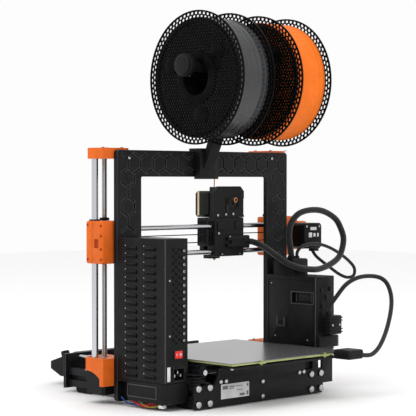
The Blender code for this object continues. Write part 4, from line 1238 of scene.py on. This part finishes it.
head = refined("extruder_body", 0.0007)
carve(
    head,
    disc_on_back(GEAR, 0.0016, 0.002, 0.0125, 0, 40),
    on_back((-0.056, -0.0525), (0.281, 0.308), 0.0012, 0.002),
    on_back((-0.097, -0.093), (0.279, 0.305), 0.0012, 0.002),
)
stand_in(head, "head_rear_print", "extruder_body", "print_head", *PRINT)
gear = disc_on_back(GEAR, 0.0014, -0.0002, 0.0105, 0.0004, 40)
carve(gear, disc_on_back(GEAR, 0.004, 0.002, 0.004))
finished(gear, "head_gear", "print_head", *MOULD)
COPPER = drawn_steel("copper_ring", (0.52, 0.22, 0.09), 0.35, "y")
eye = disc_on_back(COPPER_EYE, 0.001, 0.0006, 0.0042, 0.0003)
carve(eye, disc_on_back(COPPER_EYE, 0.002, 0.002, 0.0026))
finished(eye, "head_copper_ring", "print_head", COPPER, "brass")
# A thin strip in the lighter grey of a painted highlight on the head's back.
light_strip = on_back((-0.06, -0.0585), (0.285, 0.295), 0, 0.0008, 0.0002)
finished(light_strip, "head_light_strip", "print_head", EDGE_LIGHT, "black_plastic")
screws(
    "head_screws", "print_head", 0.0021, "+y",
    [(x, HEAD_BACK + 0.0001, z) for x, z in (
        (-0.037, 0.279), (-0.0552, 0.28), (-0.0716, 0.2805), (-0.039, 0.25), (-0.0648, 0.2436),
        (-0.046, 0.2165), (-0.0864, 0.2161), (-0.09, 0.2655))],
)
clamp_parts = [
    on_back((x0, x1), (z0, z1), 0.001, high, edge)
    for x0, x1, z0, z1, high, edge in (
        (-0.094, -0.056, 0.228, 0.233, 0.0045, 0.0007), (-0.094, -0.056, 0.2385, 0.2435, 0.0045, 0.0007),
        (-0.096, -0.066, 0.2255, 0.246, 0.0026, 0.0009), (-0.052, -0.036, 0.254, 0.268, 0.002, 0.0009),
        (-0.093, -0.076, 0.256, 0.27, 0.0018, 0.0009), (-0.095, -0.034, 0.2475, 0.2492, 0.0012, 0.0003),
        (-0.088, -0.042, 0.214, 0.2195, 0.0014, 0.0006))
]
finished(joined(*clamp_parts), "head_clamp_ribs", "print_head", *PRINT)
# The head's side slots are near-black slabs of painted shadow.
side_slots = [
    box_at((-0.0322, -0.0314), (y, y + 0.003), (0.23, 0.27), 0.0002)
    for y in (-0.029, -0.024, -0.019)
]
finished(joined(*side_slots), "head_side_slots", "print_head", *SHADOW)
ties = [
    bar_at("x", 0, -0.0134, 0.2355, (x, x + 0.0022), 0.0053, 0.0005) for x in (-0.108, -0.103, -0.0985)
]
finished(joined(*ties), "head_cable_ties", "print_head", *MOULD)

# %% [markdown]
# The feeder motor shows a band of brass-coloured laminations. Under the head hang a brass nozzle and the fan
# duct with its slots.

# %% Extruder motor and fan
FEEDER = spans("extruder_motor")
feeder = refined("extruder_motor", 0.0008)
stand_in(feeder, "feeder_motor_case", "extruder_motor", "print_head", *MOULD)
BAND_LOW = FEEDER[1][0] - DATUM.y + 0.005
band = box_at(
    (FEEDER[0][0] - DATUM.x - 0.0003, FEEDER[0][1] - DATUM.x + 0.0003), (BAND_LOW, BAND_LOW + 0.0042),
    (FEEDER[2][0] + 0.003, FEEDER[2][1] + 0.0003), 0.0004,
)
finished(band, "feeder_motor_band", "print_head", GOLD, "grey_metal")
alone_none()
bpy.ops.mesh.primitive_cone_add(
    vertices=32, radius1=0.001, radius2=0.0038, depth=0.0034, location=at(-0.053, -0.0365, 0.2077)
)
finished(settle(bpy.context.object), "brass_nozzle", "print_head", BRASS, "brass")
# The duct's slots are near-black slabs of painted shadow.
duct_slots = [
    box_at((-0.0352, -0.0344), (-0.056 + i * 0.0052, -0.0532 + i * 0.0052), (0.2335, 0.27), 0.0002)
    for i in range(4)
]
finished(joined(*duct_slots), "duct_slots", "print_head", *SHADOW)

# %% [markdown]
# ## Spool bar
# The spool bar ends in a dark stopper on each side, with a folded wire clip beside one of them.

# %% Stoppers and clip
HOLDER = spans("spool_holder")
holder = refined("spool_holder", 0.0007)
stand_in(holder, "holder_print", "spool_holder", "frame", *PRINT)
SPOOL_Z, SPOOL_BORE, BAR_RADIUS, BAR_GAP = 0.4874, 0.0265, 0.009, 0.0004
BAR_Z = SPOOL_Z + SPOOL_BORE - BAR_RADIUS - BAR_GAP
for side, end, facing in (("right", HOLDER[0][1], "+x"), ("left", HOLDER[0][0], "-x")):
    head_shape = screw_head(0.0155, 0.0045, socket=False)
    stopper = stamped(head_shape, facing, [(end - DATUM.x, 0.079, BAR_Z)])
    finished(stopper, "bar_stopper_" + side, "frame", *MOULD)
# The wire clip is drawn in the lighter grey of a painted highlight.
clip_line = [
    (0.1045, 0.05, 0.517), (0.105, 0.056, 0.513), (0.1065, 0.065, 0.501), (0.107, 0.07, 0.493),
    (0.107, 0.0735, 0.489), (0.1068, 0.0745, 0.4955), (0.106, 0.076, 0.5035),
]
clip = tube(smooth_line(clip_line), 0.001)
finished(clip, "bar_wire_clip", "frame", EDGE_LIGHT, "black_plastic", 60)

# %% [markdown]
# ## Control case
# The case door has a rolled edge, a window frame, a latch and small screws; the edge and the rims and bars of
# the window and the latch are drawn in a lighter grey as a painted highlight. On its narrow face the cable
# clamp and the plug carry ribs for grip.

# %% Control case
CASE_X = -0.1366
CASE_BACK = 0.1068


def on_door(y, z, low, high, edge=0.0, segments=2):
    """A slab on the case door, between two measures outwards from its face."""
    return box_at((CASE_X + low, CASE_X + high), y, z, edge, segments)


def on_clamp(x, z, low, high, edge):
    """The same on the case's narrow rear face."""
    return box_at(x, (CASE_BACK + low, CASE_BACK + high), z, edge)


case = refined("electronics_case", 0.0008)
stand_in(case, "control_case", "electronics_case", "frame", CASE_COAT, "black_print")
window = on_door((0.0545, 0.1036), (0.1365, 0.157), -0.0002, 0.0009, 0.0004)
carve(window, on_door((0.056, 0.1021), (0.138, 0.1555), -0.002, 0.003))
finished(window, "case_window_rim", "frame", *BRIGHT_EDGE)
window_floor = on_door((0.057, 0.101), (0.139, 0.1545), -0.006, -0.005, 0.0003)
finished(window_floor, "case_window_floor", "frame", BLACK_MOULD, "black_print")
bars = [on_door((y, y + 0.0012), (0.1395, 0.154), -0.0052, -0.003, 0.0003) for y in (0.0625, 0.095)]
finished(joined(*bars), "case_window_bars", "frame", *BRIGHT_EDGE)
edge = on_door((0.1058, 0.1072), (0.066, 0.18), -0.001, 0.0004, 0.0006, 3)
finished(edge, "case_edge_painted_highlight", "frame", EDGE_LIGHT, "frame_paint")
latch_rim = on_door((0.0262, 0.0432), (0.099, 0.114), 0.002, 0.0034, 0.0006)
carve(latch_rim, on_door((0.0285, 0.0409), (0.1012, 0.116), -0.001, 0.006))
finished(latch_rim, "case_latch_rim", "frame", *BRIGHT_EDGE)
latch_pad = on_door((0.03, 0.0395), (0.105, 0.1115), 0.002, 0.003, 0.0005)
finished(latch_pad, "case_latch_pad", "frame", *PRINT)
SEAM = (-0.0002, 0.0004, 0.0001)
seams = [on_door((0.0045, 0.102), (z, z + 0.0007), *SEAM) for z in (0.073, 0.1745)]
seams += [on_door((y, y + 0.0007), (0.073, 0.175), *SEAM) for y in (0.0045, 0.1013)]
finished(joined(*seams), "case_door_seams", "frame", HOLE_SHADOW, "black_print")
door_screws = [(CASE_X + 0.0001, y, z) for y, z in ((0.012, 0.168), (0.09, 0.08), (0.02, 0.083))]
screws("case_screws", "frame", 0.0011, "+x", door_screws)
ribs = [
    on_clamp((-0.185, -0.1375), (z, z + 0.0016), 0.001, 0.0078, 0.0004)
    for z in (0.07, 0.0735, 0.077, 0.0805, 0.084)
]
finished(joined(*ribs), "case_connector_ribs", "frame", BLACK_MOULD, "black_print")
grips = [
    on_clamp((-0.18, -0.149), (z, z + 0.0018), 0.002, 0.02, 0.0005)
    for z in (0.0925, 0.0975, 0.111, 0.1155)
]
finished(joined(*grips), "cable_clamp_ribs", "frame", *PRINT)
sockets = [
    on_clamp((-0.166 + dx, -0.16 + dx), (z, z + 0.007), -0.0004, 0.0016, 0.0006)
    for dx, z in ((0.000, 0.145), (0.012, 0.156), (-0.009, 0.158), (0.01, 0.132), (-0.008, 0.13))
]
finished(joined(*sockets), "case_sockets", "frame", *MOULD)
clamp_screws = [(x, CASE_BACK + 0.019, 0.105) for x in (-0.156, -0.173)]
screws("clamp_screws", "frame", 0.0019, "+y", clamp_screws)
collars = [
    tube([at(*low), at(*high)], radius)
    for low, high, radius in (
        ((-0.159, 0.035, 0.207), (-0.159, 0.035, 0.212), 0.0066),
        ((-0.171, 0.036, 0.207), (-0.171, 0.036, 0.211), 0.0042),
        ((-0.157, 0.117, 0.1195), (-0.157, 0.1175, 0.126), 0.005))
]
finished(joined(*collars), "case_cable_collars", "frame", *MOULD, 50)

# %% [markdown]
# ## Base
# The rear plate carries a blank rating label between its bolts, with plain blocks where print would be.

# %% Rear plate
REAR = 0.125
rear = refined("rear_plate", 0.0007)
carve(rear, box_at((-0.124, -0.118), (0.11, 0.13), (0.04, 0.048)))
stand_in(rear, "rear_plate_coated", "rear_plate", "frame", FRAME_COAT, "frame_paint")
label = box_at((0.0336, 0.093), (REAR, REAR + 0.0003), (0.0118, 0.0335), 0.0001)
finished(label, "rating_label_blank", "frame", *PAPER)
ink = [
    box_at((x0, x1), (REAR + 0.0002, REAR + 0.0005), (z0, z1))
    for x0, x1, z0, z1 in (
        (0.079, 0.09, 0.0258, 0.0312), (0.064, 0.076, 0.0285, 0.03),
        (0.066, 0.076, 0.0258, 0.027), (0.048, 0.062, 0.0285, 0.0295),
        (0.0355, 0.039, 0.027, 0.0315), (0.0355, 0.0395, 0.014, 0.02),
        (0.043, 0.054, 0.014, 0.0175), (0.048, 0.06, 0.0225, 0.0235))
]
finished(joined(*ink), "rating_label_blocks", "frame", LABEL_INK, "frame_paint")

filler = box_at((-0.129, -0.087), (0.1185, 0.1198), (0.036, 0.056), 0.0004)
finished(filler, "rear_plate_filler", "frame", *PRINT)

# %% [markdown]
# Printed ribs hold the belt under the bed, and six screws hold the heated plate from below.

# %% Under the bed
bed_rows = [
    box_at((0.118, 0.142), (0.095, 0.119), (0.037 + i * 0.0042, 0.0388 + i * 0.0042), 0.0004)
    for i in range(4)
]
finished(joined(*bed_rows), "belt_holder_ribs", "frame", *PRINT)
studs = [(side * 0.115, y, 0.0604 + 0.0032) for side in (1, -1) for y in (-0.05, 0.06, 0.17)]
finished(stamped(screw_head(0.0032, 0.003), "-z", studs), "bed_screws", "bed", *STEEL, 40)

# %% [markdown]
# ## Supply cover
# A printed cover closes the supply's lower end, with a shallow framed panel left blank. Coloured leads sag
# beneath it and end at a pale connector.

# %% Cover and leads
cover = refined("psu_cover", 0.0009)
stand_in(cover, "supply_cover_print", "psu_cover", "frame", *PRINT)
# The panel's rim is drawn in the lighter grey of a painted highlight.
panel = box_at((0.1857, 0.1866), (0.0225, 0.086), (0.016, 0.035), 0.0003)
carve(panel, box_at((0.184, 0.188), (0.024, 0.0845), (0.0175, 0.0335)))
finished(panel, "cover_panel_rim", "frame", *BRIGHT_EDGE)
for name, (colour, y, drop) in LEADS.items():
    lead = moulded(name, colour, 0.4)
    line = smooth_line([
        (0.183, y - 0.024, 0.0125), (0.1836, y - 0.014, 0.007 + drop / 3), (0.1838, y, 0.0042 + drop / 4),
        (0.1834, y + 0.013, 0.0058 + drop / 5), (0.182, y + 0.024, 0.01),
    ])
    run = tube(line, 0.0011)
    finished(run, name, "frame", lead, "braid", 60)
lead_plug = box_at((0.176, 0.1845), (0.088, 0.096), (0.004, 0.0085), 0.0006)
finished(lead_plug, "lead_connector", "frame", LABEL, "black_plastic")

# %% [markdown]
# ## Front display
# The sloping front of the display box carries a bezel with a dark glass, and nothing is written on it. Bolts
# hold the front plate beside it.

# %% Display
DISPLAY = spans("display_housing")
front_y = DISPLAY[1][0] - DATUM.y
# The front slopes up from its low edge to the flat top over this depth.
SLOPE_LOW, SLOPE_HIGH, SLOPE_DEPTH = 0.037, 0.057, 0.0617
slope = (SLOPE_HIGH - SLOPE_LOW) / SLOPE_DEPTH


def on_slope(x, y0, y1, rise, name, material, slot, edge=0.0004):
    """A thin slab that lies on the sloping front of the display box."""
    slab = box_at(x, (y0, y1), (0.0, rise), edge)
    for vertex in slab.data.vertices:
        vertex.co.z += SLOPE_LOW + slope * (vertex.co.y - DATUM.y - front_y)
    return finished(slab, name, "frame", material, slot)


GLASS = moulded("display_glass", (0.01, 0.014, 0.016), 0.12, 300.0, coat=0.6)
for x, y0, y1, rise, name, look in (
    ((-0.04, 0.066), 0.0095, 0.05, 0.0009, "display_bezel", MOULD),
    ((-0.032, 0.058), 0.014, 0.0455, 0.0013, "display_window", (GLASS, "black_plastic")),
):
    on_slope(x, front_y + y0, front_y + y1, rise, name, *look)
screws(
    "display_screws", "frame", 0.0018, "-y",
    [(x, front_y - 0.0001, 0.031) for x in (-0.048, 0.093)], material=BLACK_MOULD,
)
PLATE_FRONT = spans("front_plate")[1][0] - DATUM.y
front_bolts = [
    (side * x, PLATE_FRONT - 0.0001, z) for side in (1, -1) for z in (0.0345, 0.0125) for x in (0.136, 0.114)
]
screws("front_plate_bolts", "frame", 0.005, "-y", front_bolts, socket=False)

# %% [markdown]
# Three screws show on the front of each upright.

# %% Front frame screws
for side, word in ((1, "right"), (-1, "left")):
    upright_screws = [(side * 0.16, -0.0082, z) for z in (0.21, 0.13, 0.09)]
    screws("frame_front_screws_" + word, "frame", 0.0024, "-y", upright_screws)

# %% [markdown]
# ## Cables
# Four flexible runs tie the moving parts to the frame. Each is a tube along one smooth curve through the given
# points, split where it passes from one moving part to the next; a half that spans two parts bends between
# them, and a half that stays with the frame is rigid.
# The head's cable loops up beside the frame and down into the control case.

# %% Print head cable
HEAD_RUN = [
    (-0.1103, -0.0134, 0.2355), (-0.118, -0.0105, 0.234), (-0.121, 0.004, 0.229),
    (-0.119, 0.022, 0.222), (-0.119, 0.042, 0.212), (-0.127, 0.058, 0.201), (-0.145, 0.067, 0.194),
    (-0.167, 0.07, 0.191), (-0.189, 0.07, 0.191), (-0.219, 0.068, 0.198),
    (-0.243, 0.066, 0.211), (-0.257, 0.062, 0.236), (-0.254, 0.058, 0.256),
    (-0.244, 0.054, 0.272), (-0.219, 0.05, 0.284), (-0.192, 0.046, 0.286),
    (-0.168, 0.042, 0.28), (-0.154, 0.038, 0.264), (-0.152, 0.036, 0.244),
    (-0.156, 0.035, 0.226), (-0.159, 0.035, 0.2098),
]
near, far = split_line(HEAD_RUN, 4)
cable(
    "head_cable_near", near, 0.005, BRAID, "braid", "print_head", "gantry",
    start=near[0], end=near[0] + Vector((0, 0.0085, 0)), stands_for="head_cable",
)
cable(
    "head_cable_far", far, 0.005, BRAID, "braid", "gantry", "frame",
    start=far[0], end=far[0] + Vector((-0.03, 0.045, 0)), stands_for="head_cable",
)

# %% [markdown]
# The beam motor's cable is thinner. Its first part rises with the beam, and the rest stays with the frame.

# %% Beam motor cable
MOTOR_RUN = [
    (-0.234, 0.012, 0.2194), (-0.238, 0.02, 0.207), (-0.256, 0.032, 0.19),
    (-0.271, 0.04, 0.178), (-0.285, 0.046, 0.172), (-0.297, 0.05, 0.175),
    (-0.299, 0.05, 0.187), (-0.288, 0.048, 0.199), (-0.269, 0.046, 0.211),
    (-0.246, 0.044, 0.222), (-0.221, 0.042, 0.229), (-0.198, 0.04, 0.23),
    (-0.18, 0.038, 0.226), (-0.172, 0.036, 0.218), (-0.171, 0.036, 0.2091),
]
near, far = split_line(MOTOR_RUN, 5)
cable(
    "x_motor_cable_near", near, 0.0027, BRAID, "braid", "gantry", "frame",
    start=near[0], end=near[0] + Vector((near[-1].x - near[0].x, 0, 0)), stands_for="x_motor_cable",
)
cable("x_motor_cable_far", far, 0.0027, BRAID, "braid", "frame", stands_for="x_motor_cable")

# %% [markdown]
# The bed's cable leaves the rear corner of the bed and arches up to the clamp of the control case.

# %% Bed cable
BED_RUN = [
    (-0.1265, 0.203, 0.068), (-0.142, 0.205, 0.065), (-0.158, 0.206, 0.066),
    (-0.178, 0.204, 0.077), (-0.204, 0.196, 0.099), (-0.23, 0.184, 0.128),
    (-0.245, 0.172, 0.151), (-0.247, 0.16, 0.171), (-0.234, 0.15, 0.18),
    (-0.205, 0.141, 0.18), (-0.181, 0.134, 0.17), (-0.165, 0.127, 0.151),
    (-0.158, 0.12, 0.136), (-0.157, 0.117, 0.1216),
]
near, far = split_line(BED_RUN, 6)
cable(
    "bed_cable_near", near, 0.0035, BRAID, "braid", "bed", "frame",
    start=near[0], end=near[0] + Vector((near[-1].x - near[0].x, 0, 0)), stands_for="bed_cable",
)
cable("bed_cable_far", far, 0.0035, BRAID, "braid", "frame", stands_for="bed_cable")

# %% [markdown]
# One strand of filament drops from the orange spool to the head.

# %% Filament strand
STRAND_RUN = [
    (-0.053, -0.0125, 0.4874), (-0.053, -0.0165, 0.44), (-0.053, -0.027, 0.39),
    (-0.053, -0.034, 0.35), (-0.053, -0.0365, 0.33), (-0.053, -0.0365, 0.31),
]
near, far = split_line(STRAND_RUN, 2)
cable(
    "filament_strand_upper", near, 0.000875, ORANGE_WOUND, "orange_print", "frame", "gantry",
    start=near[0], end=near[-1], stands_for="filament_strand",
)
cable(
    "filament_strand_lower", far, 0.000875, ORANGE_WOUND, "orange_print", "gantry", "print_head",
    start=far[0], end=far[0] + (far[-1] - far[0]) * 0.7, stands_for="filament_strand",
)
